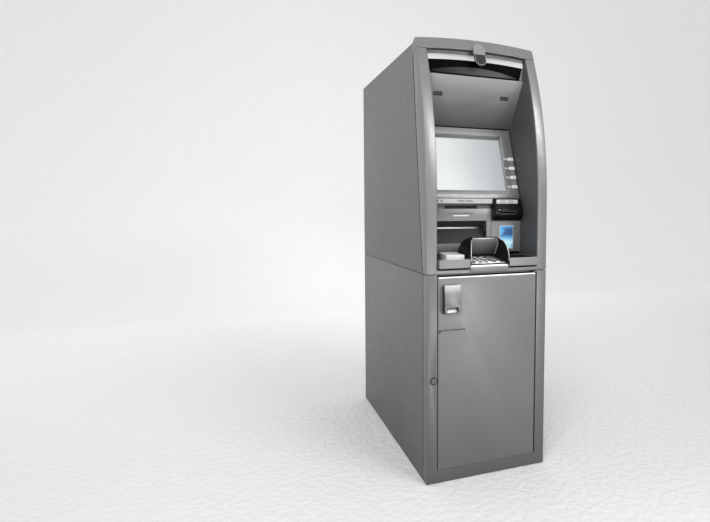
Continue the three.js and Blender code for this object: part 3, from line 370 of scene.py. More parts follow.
SILVER = (0.18, 0.181, 0.183)
MATERIALS = {
    "silver_paint": metallic_paint("silver_paint", SILVER),
    "side_paint": metallic_paint("side_paint", scaled(SILVER, 0.66), 0.5, 0.25, 0.3),
    "bezel_paint": metallic_paint("bezel_paint", scaled(SILVER, 1.0), 0.4, 0.3, 0.15),
    "liner_paint": metallic_paint("liner_paint", scaled(SILVER, 0.42), 0.5, 0.2, 0.15),
    "tray_paint": metallic_paint("tray_paint", scaled(SILVER, 1.1), 0.42, 0.25, 0.15),
    "handle_metal": satin_metal("handle_metal", (0.5, 0.505, 0.51), 0.3),
    "gloss_black": moulded_plastic("gloss_black", (0.004, 0.004, 0.0045), 0.22, 0.02, 0.2),
    "shield_plastic": moulded_plastic("shield_plastic", (0.006, 0.006, 0.0065), 0.42, 0.2, 0.2),
    "key_metal": brushed_metal("key_metal", (0.62, 0.63, 0.64), 0.32),
    "key_plastic": moulded_plastic("key_plastic", (0.72, 0.73, 0.74), 0.35, 0.05),
    "light_plastic": moulded_plastic("light_plastic", (0.55, 0.55, 0.55), 0.4, 0.05),
    "display_glass": idle_display(),
    "safe_steel": textured_coating("safe_steel", (0.07, 0.075, 0.085)),
    "dark_plastic": moulded_plastic("dark_plastic", (0.03, 0.03, 0.033), 0.5, 0.3),
    "bolt_steel": brushed_metal("bolt_steel", (0.6, 0.61, 0.62), 0.28),
}
STRIP_LIGHT = lit_diffuser("strip_light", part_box("light_strip")[0].z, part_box("light_strip")[1].z)
LAMP_WHITE = moulded_plastic("lamp_white", (0.6, 0.6, 0.6), 0.5, 0.0)
# near-black rubber for the audio socket, and for the mat and lining that paint the shade inside the trays
DARK_RUBBER_AND_SHADE = moulded_plastic("dark_rubber_and_shade", (0.012, 0.012, 0.013), 0.75, 0.5, 0.3)
INK = moulded_plastic("ink", (0.05, 0.05, 0.055), 0.6, 0.0)
LABEL = moulded_plastic("label", (0.62, 0.63, 0.64), 0.5, 0.0)
# dark grey paint for trims, labels and marks, and for the plate of painted shade on the bevel above the display
GREY_TRIM_AND_SHADE = metallic_paint("grey_trim_and_shade", scaled(SILVER, 0.5), 0.45, 0.2, 0.1)
CARD_PICTURE = card_picture()
# near-black for the strip of painted shade under the hood's lip
CAP_LIP_SHADE_GREY = moulded_plastic("cap_lip_shade_grey", (0.05, 0.05, 0.052), 0.5, 0.1)
# dark plastic for the panel seam, clips, slot lips and speaker holes, and for the painted shadow in the door's
# pressed line
DARK_TRIM_AND_SHADE = moulded_plastic("dark_trim_and_shade", (0.035, 0.035, 0.037), 0.5, 0.1)
# painted sheen on the black band
CRESCENT_SHEEN = crescent_sheen()
BRIGHT_SILVER = metallic_paint("bright_silver", (0.38, 0.383, 0.388), 0.36, 0.3, 0.05)
# pale plastic for painted highlights on the keypad's nose, the door's top edge and the handle's tab
HIGHLIGHT_WHITE = moulded_plastic("highlight_white", (0.85, 0.85, 0.85), 0.3, 0.0)
RING_GREY = moulded_plastic("ring_grey", (0.26, 0.262, 0.265), 0.4, 0.0)
LABEL_GREY = moulded_plastic("label_grey", (0.13, 0.132, 0.135), 0.5, 0.0)
POINTER_GREY = moulded_plastic("pointer_grey", (0.42, 0.425, 0.43), 0.45, 0.0)
LOCK_METAL = satin_metal("lock_metal", (0.09, 0.09, 0.092), 0.35)
# near-black for the lock's ring and for strips of painted shade in seams, gaps, behind the ceiling and under the
# trays
SEAM_AND_SHADE_BLACK = moulded_plastic("seam_and_shade_black", (0.008, 0.008, 0.008), 0.8, 0.0, 0.1)
GREY_RIM = metallic_paint("grey_rim", (0.42, 0.425, 0.43), 0.35, 0.4, 0.05)
PANEL_GREY = shield_panel_painted_shade()
BAR_RED = moulded_plastic("bar_red", (0.45, 0.03, 0.025), 0.4, 0.0)
BAR_YELLOW = moulded_plastic("bar_yellow", (0.7, 0.45, 0.03), 0.4, 0.0)
BAR_GREEN = moulded_plastic("bar_green", (0.03, 0.3, 0.08), 0.4, 0.0)
RECESS_PAINT_AND_LIGHT = recess_paint_and_painted_light("recess_paint_and_painted_light", scaled(SILVER, 0.39), scaled(SILVER, 0.42), scaled(SILVER, 1.45))
PANEL_PAINT = panel_paint("panel_paint", scaled(SILVER, 0.95), (0.02, 0.02, 0.021))
POD_FINISH = pod_finish("pod_finish", scaled(SILVER, 1.15), (0.02, 0.02, 0.021))
HANDLE_SATIN_PAINTED_SHADE = handle_satin_painted_shade()
# the silver paint darkened, a shaded copy as painted shade on the lower front frame
FRAME_PAINT_SHADED = metallic_paint("frame_paint_shaded", scaled(SILVER, 0.78))
VISOR_BLACK = moulded_plastic("visor_black", (0.001, 0.001, 0.001), 0.5, 0.0, 0.02)
CABINET = "cabinet"
SIDES = ((-1, "left"), (1, "right"))


# ------------------------------------------------------------------ mesh helpers
def link(name, mesh, body, slot, *materials):
    """Turns a mesh into a piece that rides on a body."""
    piece = bpy.data.objects.new(name, mesh)
    bpy.context.scene.collection.objects.link(piece)
    for material in materials:
        mesh.materials.append(material)
    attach(piece, body)
    return piece


def soften(piece, width, segments=2, angle=30.0):
    """Rounds the sharp edges and keeps the flats flat."""
    bevel = piece.modifiers.new("edge_round", "BEVEL")
    bevel.width = width * MM
    bevel.segments = segments
    bevel.limit_method = "ANGLE"
    bevel.angle_limit = math.radians(angle)
    bevel.harden_normals = True
    piece.data.shade_smooth()


def rounded_outline(width, height, radius, steps=4):
    """Points of a rounded rectangle round the origin, anticlockwise, in millimetres."""
    points = []
    corners = [(1, 1, 0), (-1, 1, 90), (-1, -1, 180), (1, -1, 270)]
    for sx, sy, start in corners:
        for step in range(steps + 1):
            angle = math.radians(start + 90 * step / steps)
            points.append((sx * (width / 2 - radius) + radius * math.cos(angle),
                           sy * (height / 2 - radius) + radius * math.sin(angle)))
    return points


def prism(outline, low, high):
    """Bmesh of an outline in local x and y, swept from low to high along local z, in millimetres."""
    body = bmesh.new()
    bottom = [body.verts.new(Vector((x, y, low)) * MM) for x, y in outline]
    top = [body.verts.new(Vector((x, y, high)) * MM) for x, y in outline]
    body.faces.new(list(reversed(bottom)))
    body.faces.new(top)
    count = len(outline)
    for i in range(count):
        j = (i + 1) % count
        body.faces.new((bottom[i], bottom[j], top[j], top[i]))
    return body


def finished(body, name, place=None):
    bmesh.ops.recalc_face_normals(body, faces=body.faces)
    if place is not None:
        body.transform(place)
    mesh = bpy.data.meshes.new(name)
    body.to_mesh(mesh)
    body.free()
    return mesh


def plate(name, place, size, thickness, radius, body, slot, material, round_edge=0.25):
    """Rounded plate whose back lies on the local xy plane of its place."""
    mesh = finished(prism(rounded_outline(*size, radius), 0, thickness), name, place)
    piece = link(name, mesh, body, slot, material)
    soften(piece, min(round_edge, thickness * 0.4), 2)
    return piece


def absorb(whole, part):
    """Adds one bmesh to another and frees it."""
    scratch = bpy.data.meshes.new("scratch")
    part.to_mesh(scratch)
    part.free()
    whole.from_mesh(scratch)
    bpy.data.meshes.remove(scratch)


def plates(name, places, size, thickness, radius, body, slot, material):
    """Several equal plates as one piece."""
    whole = bmesh.new()
    for place in places:
        part = prism(rounded_outline(*size, radius), 0, thickness)
        part.transform(place)
        absorb(whole, part)
    return link(name, finished(whole, name), body, slot, material)


def flat_piece(name, outline, thickness, place, body, slot, material):
    """Plate of any outline, without rounded edges."""
    return link(name, finished(prism(outline, 0, thickness), name, place), body, slot, material)


def sweep(name, outline, x0, x1, body, slot, material):
    """Side-view outline of (y, z) points swept across the width, in millimetres."""
    turn = Matrix(((0, 0, 1, 0), (1, 0, 0, 0), (0, 1, 0, 0), (0, 0, 0, 1)))  # x to y, y to z, z to x
    mesh = finished(prism(outline, x0, x1), name, Matrix.Translation(at(0, 0, 0)) @ turn)
    return link(name, mesh, body, slot, material)


def circle_points(x, y, z, radius, count=20):
    """Points round a circle that faces the front, in millimetres."""
    angles = [2 * math.pi * k / count for k in range(count)]
    return [(x + radius * math.cos(angle), y, z + radius * math.sin(angle)) for angle in angles]


# ------------------------------------------------------------------ CAD nodes
EDGE_ROUND = {  # millimetres, by node; nodes not named take the default
    "lower_front_frame": 1.0, "cabinet_door": 0.8, "fascia_frame": 1.6, "fascia_cap": 1.4,
    "screen_bezel": 0.8, "service_panel": 0.6, "card_reader": 1.4, "door_handle": 1.2, "pin_shield": 0.8,
    "left_tray": 1.2, "right_tray": 1.2, "scanner": 1.6, "safe_body": 1.5, "safe_door": 2.0,
    "display_panel": 0.3, "keypad_plate": 0.3, "camera_pod": 0.2, "key_lock": 0.3,
}
DEFAULT_ROUND = 0.5


def dress_cad_nodes():
    """Gives every CAD node its slot's material, clean flats and rounded edges."""
    slots = {part["node"]: part["material_slot"] for part in frame["record"]["subparts"]}
    for name, node in frame["nodes"].items():
        node.data.materials.clear()
        node.data.materials.append(MATERIALS[slots[name]])
        weld = node.modifiers.new("weld", "WELD")
        weld.merge_threshold = 0.00002
        flats = node.modifiers.new("flats", "DECIMATE")
        flats.decimate_type = "DISSOLVE"
        flats.angle_limit = math.radians(0.4)
        width = EDGE_ROUND.get(name, DEFAULT_ROUND)
        if name.startswith(("pin_key", "screen_key")):
            width = 1.2
        soften(node, width, 3)
        node.modifiers["edge_round"].use_clamp_overlap = True
    own_finish = {"light_strip": STRIP_LIGHT, "recess_liner": RECESS_PAINT_AND_LIGHT, "service_panel": PANEL_PAINT,
                  "camera_pod": POD_FINISH, "visor_band": VISOR_BLACK, "key_lock": LOCK_METAL,
                  "door_handle": HANDLE_SATIN_PAINTED_SHADE, "lower_front_frame": FRAME_PAINT_SHADED}
    for name, material in own_finish.items():
        frame["nodes"][name].data.materials[0] = material


# ------------------------------------------------------------------ camera and stage
CAMERA_AT = (-851.9, -1634.3, 981.3)  # millimetres, in the at() frame
CAMERA_YAW = 20.266
CAMERA_PITCH = -3.839
FOCAL_RATIO = 0.718592  # focal length over picture width
CENTRE = (-0.097606, -0.02638)  # the lens shift, as shares of the picture's width
SENSOR = 36.0


def make_camera():
    data = bpy.data.cameras.new("camera")
    data.sensor_fit = "HORIZONTAL"
    data.sensor_width = SENSOR
    data.lens = FOCAL_RATIO * SENSOR
    data.shift_x, data.shift_y = CENTRE
    camera = bpy.data.objects.new("camera", data)
    bpy.context.scene.collection.objects.link(camera)
    yaw = Matrix.Rotation(-math.radians(CAMERA_YAW), 4, "Z")
    pitch = Matrix.Rotation(math.radians(90 + CAMERA_PITCH), 4, "X")
    camera.matrix_world = Matrix.Translation(at(*CAMERA_AT)) @ yaw @ pitch
    bpy.context.scene.camera = camera


def make_backdrop():
    """Pale floor with a faint plaster grain and painted shade near the machine, curving up into a wall well behind
    the machine.
    """
    half, near, far, bend, top = 9.0, -8.0, 4.5, 1.5, 7.0
    profile = [(near, 0.0), (far - bend, 0.0)]
    for step in range(1, 13):
        angle = math.radians(90 * step / 12)
        profile.append((far - bend + bend * math.sin(angle), bend - bend * math.cos(angle)))
    profile.append((far, top))
    body = bmesh.new()
    rows = [[body.verts.new((x, y, z)) for x in (-half, half)] for y, z in profile]
    for low, high in zip(rows, rows[1:]):
        body.faces.new((low[0], low[1], high[1], high[0]))
    mesh = bpy.data.meshes.new("floor")
    body.to_mesh(mesh)
    body.free()
    floor = bpy.data.objects.new("floor", mesh)
    bpy.context.scene.collection.objects.link(floor)
    shader = Shader("floor", (0.86, 0.86, 0.86), 0.85, 0.0, 0.1)
    stucco = shader.noise(38, 4.0)
    # painted shade: the floor is darker near the machine and paler towards the wall
    depth = shader.gradient(-0.6, 2.6, "Y")
    shader.color(shader.ramp(depth, [(0.0, (0.60, 0.60, 0.60)), (1.0, (0.95, 0.95, 0.95))]))
    shader.bump(stucco, 0.35, 0.02)
    mesh.materials.append(shader.material)
    mesh.shade_smooth()


def area_light(name, place, target, size, power):
    data = bpy.data.lights.new(name, "AREA")
    data.shape = "RECTANGLE"
    data.size, data.size_y = size
    data.energy = power
    lamp = bpy.data.objects.new(name, data)
    bpy.context.scene.collection.objects.link(lamp)
    lamp.location = place
    lamp.rotation_euler = (Vector(target) - Vector(place)).to_track_quat("-Z", "Y").to_euler()


def make_light():
    bpy.context.scene.view_settings.view_transform = "Standard"
    world = bpy.data.worlds.new("studio")
    bpy.context.scene.world = world
    world.use_nodes = True
    background = world.node_tree.nodes["Background"]
    background.inputs["Color"].default_value = (1.0, 1.0, 1.0, 1.0)
    background.inputs["Strength"].default_value = 0.76
    area_light("key", (-1.25, -1.9, 1.55), (-0.25, -0.4, 0.9), (0.8, 0.8), 30)
    area_light("door", (0.7, -2.2, 0.35), (-0.1, -0.4, 0.6), (0.5, 0.7), 6)
    area_light("band", (1.2, -2.5, 2.35), (0.0, -0.4, 1.25), (1.5, 0.45), 44)
    area_light("left", (-3.2, 1.2, 2.0), (0, 0.2, 1.1), (1.6, 1.6), 10)
    area_light("top", (0.0, 0.2, 4.2), (0, 0.0, 0.9), (2.6, 2.6), 10)
    area_light("back", (1.0, 3.4, 2.4), (0, 0.2, 0.9), (2.4, 2.0), 12)


# ------------------------------------------------------------------ detail pieces
SIDE_KEY_ROWS = (48.5, 87.1, 125.7, 164.3)  # heights up the bezel
SIDE_KEY_X = 183
POINTER_X = 160
WINDOW_MIDDLE = 140.5  # height up the bezel
WINDOW_TOP = 249
PANEL_Y = 122  # front faces of the service panel's parts
CARD_AREA_Y = 119
STRIP_Y = 112
READER_Y = 104
BULGE_Y = 90
CASH_BACK_Y = 162
SLOT_X = -52  # middle of the cash slot
SOCKET = (-157, 1007)  # x and z of the audio socket
SIGN_AT = (137, 868)  # x and z of the card sign's middle
KEYPAD_AT = (0, 4, 785)
KEY_TOP = 3.0
KEY_COLUMNS = (-43, -17, 9, 42)
KEY_ROWS = (82.5, 60, 37.5, 15)  # back row first
POD_AT = (0, 93.6, 1537.5)
POD_TILT = math.asin(537.5 / 1500)  # lean of the bowed front at the pod's height
HOOD_RIM = {"y": 40, "z": 790, "reach": 52, "rise": 86}  # arc that the keypad hood's wings follow
HOOD_FOOT_Z, HOOD_TOP_Z = 800, 868
TRAY = {"x": 137.5, "y": 53.5, "z": 773.02, "width": 110.4, "depth": 122.4, "wall": 27}
SIDE_FOOT = (42, 750)  # y and z of the two ends of the upper side panels' leaning edge
SIDE_TOP = (149, 1572)
LOCK = (-214, 374)
DIAL_AT = (-60, 60.02, 520)
DIAL_BASE, DIAL_THICK, DIAL_KNOB = 4, 5, 5  # thicknesses


def on_keypad(x, y, proud):
    """Frame on the keypad: local x runs right, local y up its slope and local z out of it."""
    tilt = Matrix.Translation(at(*KEYPAD_AT)) @ Matrix.Rotation(KEYPAD_TILT, 4, "X")
    return tilt @ Matrix.Translation(Vector((x, y, proud)) * MM)


def tube(name, points, radius, body, slot, material, closed=False, sides=8):
    """Round bar along a line of points given in millimetres."""
    path = [at(*point) for point in points]
    count = len(path)
    bar = bmesh.new()
    rings = []
    first = None
    for i, centre in enumerate(path):
        before = path[(i - 1) % count] if closed or i > 0 else path[i]
        after = path[(i + 1) % count] if closed or i < count - 1 else path[i]
        along = (after - before).normalized()
        before_first = first
        first = along.cross(Vector((0, 0, 1)) if abs(along.z) < 0.9 else Vector((0, 1, 0))).normalized()
        if before_first and first.dot(before_first) < 0:
            first = -first
        second = along.cross(first)
        ring = []
        for k in range(sides):
            angle = 2 * math.pi * k / sides
            arm = first * math.cos(angle) + second * math.sin(angle)
            ring.append(bar.verts.new(centre + arm * radius * MM))
        rings.append(ring)
    pairs = list(zip(rings, rings[1:])) + ([(rings[-1], rings[0])] if closed else [])
    for ring, following in pairs:
        for k in range(sides):
            j = (k + 1) % sides
            bar.faces.new((ring[k], ring[j], following[j], following[k]))
    if not closed:
        bar.faces.new(rings[0])
        bar.faces.new(list(reversed(rings[-1])))
    piece = link(name, finished(bar, name), body, slot, material)
    piece.data.shade_smooth()
    return piece


def rings_plate(name, place, outer, inner, low, high, body, slot, material):
    """Flat frame between two outlines with the same number of points, in millimetres."""
    frame_mesh = bmesh.new()
    loops = []
    for outline, z in ((outer, low), (outer, high), (inner, high), (inner, low)):
        loops.append([frame_mesh.verts.new(Vector((x, y, z)) * MM) for x, y in outline])
    count = len(outer)
    for loop, following in zip(loops, loops[1:] + loops[:1]):
        for i in range(count):
            j = (i + 1) % count
            frame_mesh.faces.new((loop[i], loop[j], following[j], following[i]))
    return link(name, finished(frame_mesh, name, place), body, slot, material)


def screen_details():
    """Gasket and lines round the display, a plate of painted shade on the bevel above it, pointers to the side
    keys and blank labels between the keys.
    """
    rings_plate("screen_gasket", on_screen(0, WINDOW_MIDDLE, -6.5), rounded_outline(298, 221, 3),
                rounded_outline(291, 214, 2), 0, 1.2, "fascia", "bezel_paint", GREY_TRIM_AND_SHADE)
    rings_plate("screen_inner_line", on_screen(0, WINDOW_MIDDLE), rounded_outline(324, 247, 4),
                rounded_outline(321, 244, 3), 0, 0.25, "fascia", "bezel_paint", GREY_TRIM_AND_SHADE)
    slope_run, slope_deep = 13, 5
    top = on_screen(0, WINDOW_TOP + slope_run / 2, -slope_deep / 2)
    top_slope = top @ Matrix.Rotation(math.atan2(slope_deep, slope_run), 4, "X")
    plate("screen_top_shade", top_slope, (306, 12.6), 0.2, 0.5, "fascia", "bezel_paint", GREY_TRIM_AND_SHADE)
    rows = SIDE_KEY_ROWS
    for side, word in SIDES:
        lines = [on_screen(side * POINTER_X, z) for z in rows]
        plates(f"pointer_lines_{word}", lines, (19, 6.5), 0.3, 0.8, "fascia", "key_plastic", POINTER_GREY)
        gaps = [(low + high) / 2 for low, high in zip(rows, rows[1:])]
        plates(f"side_labels_{word}", [on_screen(side * SIDE_KEY_X, z) for z in gaps], (23, 20), 0.4, 1.0,
               "fascia", "bezel_paint", LABEL_GREY)
        plates(f"inner_labels_{word}", [on_screen(side * POINTER_X, z) for z in gaps], (15, 26), 0.3, 1.0,
               "fascia", "bezel_paint", LABEL_GREY)
        bars = [on_screen(side * SIDE_KEY_X, z + step, 0.4) for z in gaps for step in (-5, 0, 5)]
        plates(f"label_bars_{word}", bars, (15, 1.4), 0.15, 0.3, "fascia", "bezel_paint", POINTER_GREY)


def strip_details():
    """Bright face of the strip under the screen, its audio socket, a blank mark and blank label bars."""
    plate("strip_face", facing_front(-63, STRIP_Y + PROUD, 1007.6), (266, 16.5), 0.35, 0.8, "fascia",
          "bezel_paint", BRIGHT_SILVER)
    y = STRIP_Y - 0.3
    x, z = SOCKET
    tube("audio_socket_ring", circle_points(x, y - 0.3, z, 4.2), 0.9, "fascia", "bezel_paint",
         GREY_RIM, closed=True)
    plate("audio_socket", facing_front(x, y, z), (6.4, 6.4), 0.4, 3.1, "fascia", "gloss_black", DARK_RUBBER_AND_SHADE)
    bars = [facing_front(bar_x, y, bar_z)
            for bar_x, bar_z in ((-62, 1009.5), (-30, 1009.5), (-56, 1005), (-24, 1005))]
    plates("strip_label", bars, (27, 2.4), 0.2, 0.5, "fascia", "bezel_paint", GREY_TRIM_AND_SHADE)
    plate("headset_mark", facing_front(x + 18, y, z), (9, 5), 0.2, 1.0, "fascia", "bezel_paint", GREY_TRIM_AND_SHADE)


def panel_details():
    """Blank label and lamp over the cash mouth, the lips of its slot and of the receipt slot, and a seam."""
    y = PANEL_Y + PROUD
    marks = [facing_front(-103 + 11.5 * i, y, 962) for i in range(9)]
    plates("cash_label", marks, (8.5, 6), 0.2, 0.6, "fascia", "bezel_paint", GREY_TRIM_AND_SHADE)
    plate("cash_lamp", facing_front(-56, y, 952.5), (62, 4), 0.8, 1.6, "fascia", "light_plastic", LAMP_WHITE)
    for name, z in (("upper", 911), ("lower", 898)):
        plate(f"slot_lip_{name}", facing_front(SLOT_X, CASH_BACK_Y - 0.2, z), (190, 1.3), 1.6, 0.5, "fascia",
              "key_metal", LABEL_GREY)
    plate("receipt_lip_top", facing_front(-55.5, PANEL_Y + 1.5, 990.3), (139, 2), 1.2, 0.5, "fascia",
          "gloss_black", MATERIALS["gloss_black"])
    plate("receipt_lip_bottom", facing_front(-55.5, PANEL_Y + 0.6, 979.6), (139, 2), 1.4, 0.5, "fascia",
          "gloss_black", MATERIALS["gloss_black"])
    plate("panel_seam", facing_front(71.3, y, 873), (1.0, 119), 0.15, 0.2, "fascia", "bezel_paint", DARK_TRIM_AND_SHADE)


def sign():
    """Card sign on the panel: a pale-edged card with an abstract pattern."""
    (x, z), y = SIGN_AT, CARD_AREA_Y + PROUD
    plate("card_sign_edge", facing_front(x, y, z), (58, 90), 0.4, 3, "fascia", "light_plastic", LABEL)
    plate("card_sign_picture", facing_front(x, y - 0.4, z), (55, 87), 0.3, 2.4, "fascia", "light_plastic",
          CARD_PICTURE)


def sign_clips():
    """Two small dark clips at the sign's right edge."""
    for name, z in (("upper", 903), ("lower", 832)):
        plate(f"sign_clip_{name}", facing_front(168, CARD_AREA_Y + PROUD, z), (4.5, 6), 1.2, 1.5, "fascia",
              "dark_plastic", DARK_TRIM_AND_SHADE)


def reader_details():
    """Blank pale label, lamp, small marks and slot lips on the card reader."""
    plate("reader_label", facing_front(130, READER_Y + PROUD, 1006), (92, 15), 0.4, 1.2, "fascia",
          "bezel_paint", POINTER_GREY)
    plates("reader_label_bars", [facing_front(x, READER_Y - 0.38, 1006 + z)
                                 for x, z in ((112, 3), (112, -2.5), (146, 3), (146, -2.5))],
           (26, 2.2), 0.15, 0.5, "fascia", "bezel_paint", GREY_TRIM_AND_SHADE)
    lips = [facing_front(129, BULGE_Y + 0.05, z) for z in (969.6, 959.4)]
    plates("card_slot_lips", lips, (66, 2.4), 1.4, 1.0, "fascia", "gloss_black", DARK_TRIM_AND_SHADE)
    plate("card_lamp", facing_front(90, BULGE_Y + PROUD, 975), (5, 2.4), 0.5, 1.0, "fascia", "light_plastic",
          LAMP_WHITE)
    marks = [facing_front(x, BULGE_Y + PROUD, 976) for x in (104, 112, 120)]
    plates("reader_marks", marks, (4.5, 2.2), 0.2, 0.6,
           "fascia", "gloss_black", GREY_TRIM_AND_SHADE)


def visor_details():
    """Grey crescent of painted sheen and the pale tapered ends of the black band above the ceiling."""
    steps, left, width, foot, rise = 24, -178, 350, 1473.5, 24
    middle, half = -15, 187
    xs = [left + width * i / steps for i in range(steps + 1)]
    shape = [(x, foot) for x in xs]
    shape += [(x, foot + 2 + rise * (1 - ((x - middle) / half) ** 2)) for x in reversed(xs)]
    place = facing_front(0, CEILING_FRONT[0] + PROUD, 0)
    flat_piece("visor_crescent_sheen", shape, 0.5, place, "fascia", "gloss_black",
               CRESCENT_SHEEN)
    for side, word in SIDES:
        corner = [(side * 184, 1470), (side * 199, 1470), (side * 199, 1524), (side * 195.8, 1524)]
        flat_piece(f"visor_end_{word}", corner, 1.0, facing_front(0, 117, 0), "fascia", "silver_paint",
                   MATERIALS["silver_paint"])


def cap_lip_shade():
    """Dark arched strip between the lamp and the hood's lower edge: painted shade in the gap under the hood's lip.
    """
    steps, half, foot, height = 24, 197, 1534.5, 14.5
    xs = [-half + 2 * half * i / steps for i in range(steps + 1)]
    arch = [(x, foot + 9 * (1 - (x / 202) ** 2)) for x in xs]
    shape = arch + [(x, z + height) for x, z in reversed(arch)]
    flat_piece("cap_lip_shade", shape, 2, facing_front(0, 117.5, 0), "fascia", "dark_plastic", CAP_LIP_SHADE_GREY)


def pod_details():
    """Ring round the front of the camera housing."""
    half_width, half_height, out, steps = 21.6, 43.1, -8.7, 40
    points = []
    for k in range(steps):
        angle = 2 * math.pi * k / steps
        straight = math.copysign(half_height - half_width, math.sin(angle))
        up = straight + half_width * math.sin(angle)
        points.append((half_width * math.cos(angle),
                       POD_AT[1] + out * math.cos(POD_TILT) + up * math.sin(POD_TILT),
                       POD_AT[2] - out * math.sin(POD_TILT) + up * math.cos(POD_TILT)))
    tube("pod_ring", points, 0.9, "fascia", "handle_metal", RING_GREY, closed=True)


def ceiling_frame(x, share):
    """Frame on the sloping ceiling; share runs from 0 at its back edge to 1 at its front edge."""
    (y0, z0), (y1, z1) = CEILING_BACK, CEILING_FRONT
    slope = math.atan2(z1 - z0, y0 - y1)
    place = Matrix.Translation(at(x, y0 + share * (y1 - y0), z0 + share * (z1 - z0)))
    return place @ Matrix.Rotation(math.pi - slope, 4, "X")


def ceiling_details():
    """Smoked covers in the ceiling's windows, a small perforated patch and a dark plate of painted shade in the
    gap behind its back edge.
    """
    plate("ceiling_gap_shade", facing_front(0, CEILING_BACK[0] + 9, 1286), (380, 44), 1.0, 1.0, "fascia",
          "dark_plastic", SEAM_AND_SHADE_BLACK)
    rise = CEILING_FRONT[1] - CEILING_BACK[1]
    window_x, window_z = CEILING_WINDOW
    share = (window_z - CEILING_BACK[1]) / rise
    for side, word in SIDES:
        place = ceiling_frame(side * window_x, share) @ Matrix.Translation((0, 0, -4 * MM))
        plate(f"ceiling_cover_{word}", place, (37, 17), 1.0, 1.0, "fascia", "dark_plastic",
              MATERIALS["dark_plastic"])
    first, pitch = 15, 5  # height of the first row over the back edge, and the holes' pitch
    holes = [ceiling_frame(120 + pitch * column, (first + pitch * row) / rise) for column in range(8)
             for row in range(5)]
    plates("speaker_holes", holes, (2.2, 2.2), 0.12, 1.05, "fascia", "dark_plastic", DARK_TRIM_AND_SHADE)


def shield_half_width(z):
    """Outer half width of the keypad's hood at a height."""
    wide, narrow = 77.0, 58.0
    if z <= HOOD_FOOT_Z:
        return wide
    if z >= HOOD_TOP_Z:
        return narrow - (z - HOOD_TOP_Z)
    share = (z - HOOD_FOOT_Z) / (HOOD_TOP_Z - HOOD_FOOT_Z)
    return narrow + (wide - narrow) * math.sqrt(1 - share ** 2)


def shield_rows(steps):
    """Half width, y and z of the hood's slanted inner face, from its foot to its top."""
    rows = []
    for i in range(steps + 1):
        share = 0.04 + 0.92 * i / steps
        z = 804 + 67 * share
        rows.append((shield_half_width(z) - 4.2, 98 - 56 * share, z))
    return rows


def shield_panel(rows):
    """Thin pale panel on the hood's slanted inner face."""
    out = Vector((0, -0.767, -0.641)) * 0.9 * MM
    panel = bmesh.new()
    fronts, backs = [[(panel.verts.new(at(-half, y, z) + lift), panel.verts.new(at(half, y, z) + lift))
                      for half, y, z in rows] for lift in (out, out * 0.1)]
    for i in range(len(rows) - 1):
        panel.faces.new((fronts[i][0], fronts[i][1], fronts[i + 1][1], fronts[i + 1][0]))
        panel.faces.new((backs[i][0], backs[i + 1][0], backs[i + 1][1], backs[i][1]))
        panel.faces.new((fronts[i][0], fronts[i + 1][0], backs[i + 1][0], backs[i][0]))
        panel.faces.new((fronts[i][1], backs[i][1], backs[i + 1][1], fronts[i + 1][1]))
    for i in (0, len(rows) - 1):
        panel.faces.new((fronts[i][0], backs[i][0], backs[i][1], fronts[i][1]))
    link("shield_panel", finished(panel, "shield_panel"), "fascia", "shield_plastic", PANEL_GREY)


def shield_details():
    """Pale rims on the hood's wings, its inner panel with pale edges and the bar along its top."""
    for side, word in SIDES:
        rim = []
        for i in range(15):
            angle = math.radians(6 * i)
            z = HOOD_RIM["z"] + HOOD_RIM["rise"] * math.sin(angle)
            y = HOOD_RIM["y"] - HOOD_RIM["reach"] * math.cos(angle)
            rim.append((side * (shield_half_width(z) - 1.5), y, z))
        tube(f"shield_rim_{word}", rim, 1.5, "fascia", "key_metal", GREY_RIM)
    rows = shield_rows(12)
    shield_panel(rows)
    bar = [(x, 41.5, 869.5) for x in (-51, -20, 20, 51)]
    tube("shield_top_bar", bar, 3.0, "fascia", "key_metal", GREY_RIM)
    for side, word in SIDES:
        edge = [(side * (half - 0.5), y - 1.2, z - 1.0) for half, y, z in rows]
        tube(f"shield_edge_{word}", edge, 2.0, "fascia", "key_metal", GREY_RIM)


SEGMENTS = {  # strokes of the numerals: middle in half widths and half heights, and whether it lies flat
    "a": (0, 1, True), "b": (1, 0.5, False), "c": (1, -0.5, False), "d": (0, -1, True),
    "e": (-1, -0.5, False), "f": (-1, 0.5, False), "g": (0, 0, True),
}
NUMERALS = {"0": "abcdef", "1": "bc", "2": "abged", "3": "abgcd", "4": "fgbc", "5": "afgcd", "6": "afgedc",
            "7": "abc", "8": "abcdefg", "9": "gfabcd"}
KEY_LEGENDS = ("123x", "456l", "789e", ".0._")


def key_legends():
    """Numerals on the number keys and a coloured bar on each function key."""
    bar_colors = {"x": BAR_RED, "l": BAR_YELLOW, "e": BAR_GREEN}
    for row, legends in enumerate(KEY_LEGENDS):
        for column, legend in enumerate(legends):
            x, y = KEY_COLUMNS[column], KEY_ROWS[row]
            body = f"pin_key_{row + 1}_{column + 1}_cap"
            name = f"legend_{row + 1}_{column + 1}"
            if legend in NUMERALS:
                numeral(name, x, y, NUMERALS[legend], body)
            elif legend in bar_colors:
                plate(name, on_keypad(x, y, KEY_TOP - PROUD), (11, 2.6), 0.15, 0.8, body, "key_metal",
                      bar_colors[legend])
            else:
                plate(name, on_keypad(x, y, KEY_TOP - PROUD), (2.0, 2.0), 0.12, 0.9, body, "key_metal", INK)


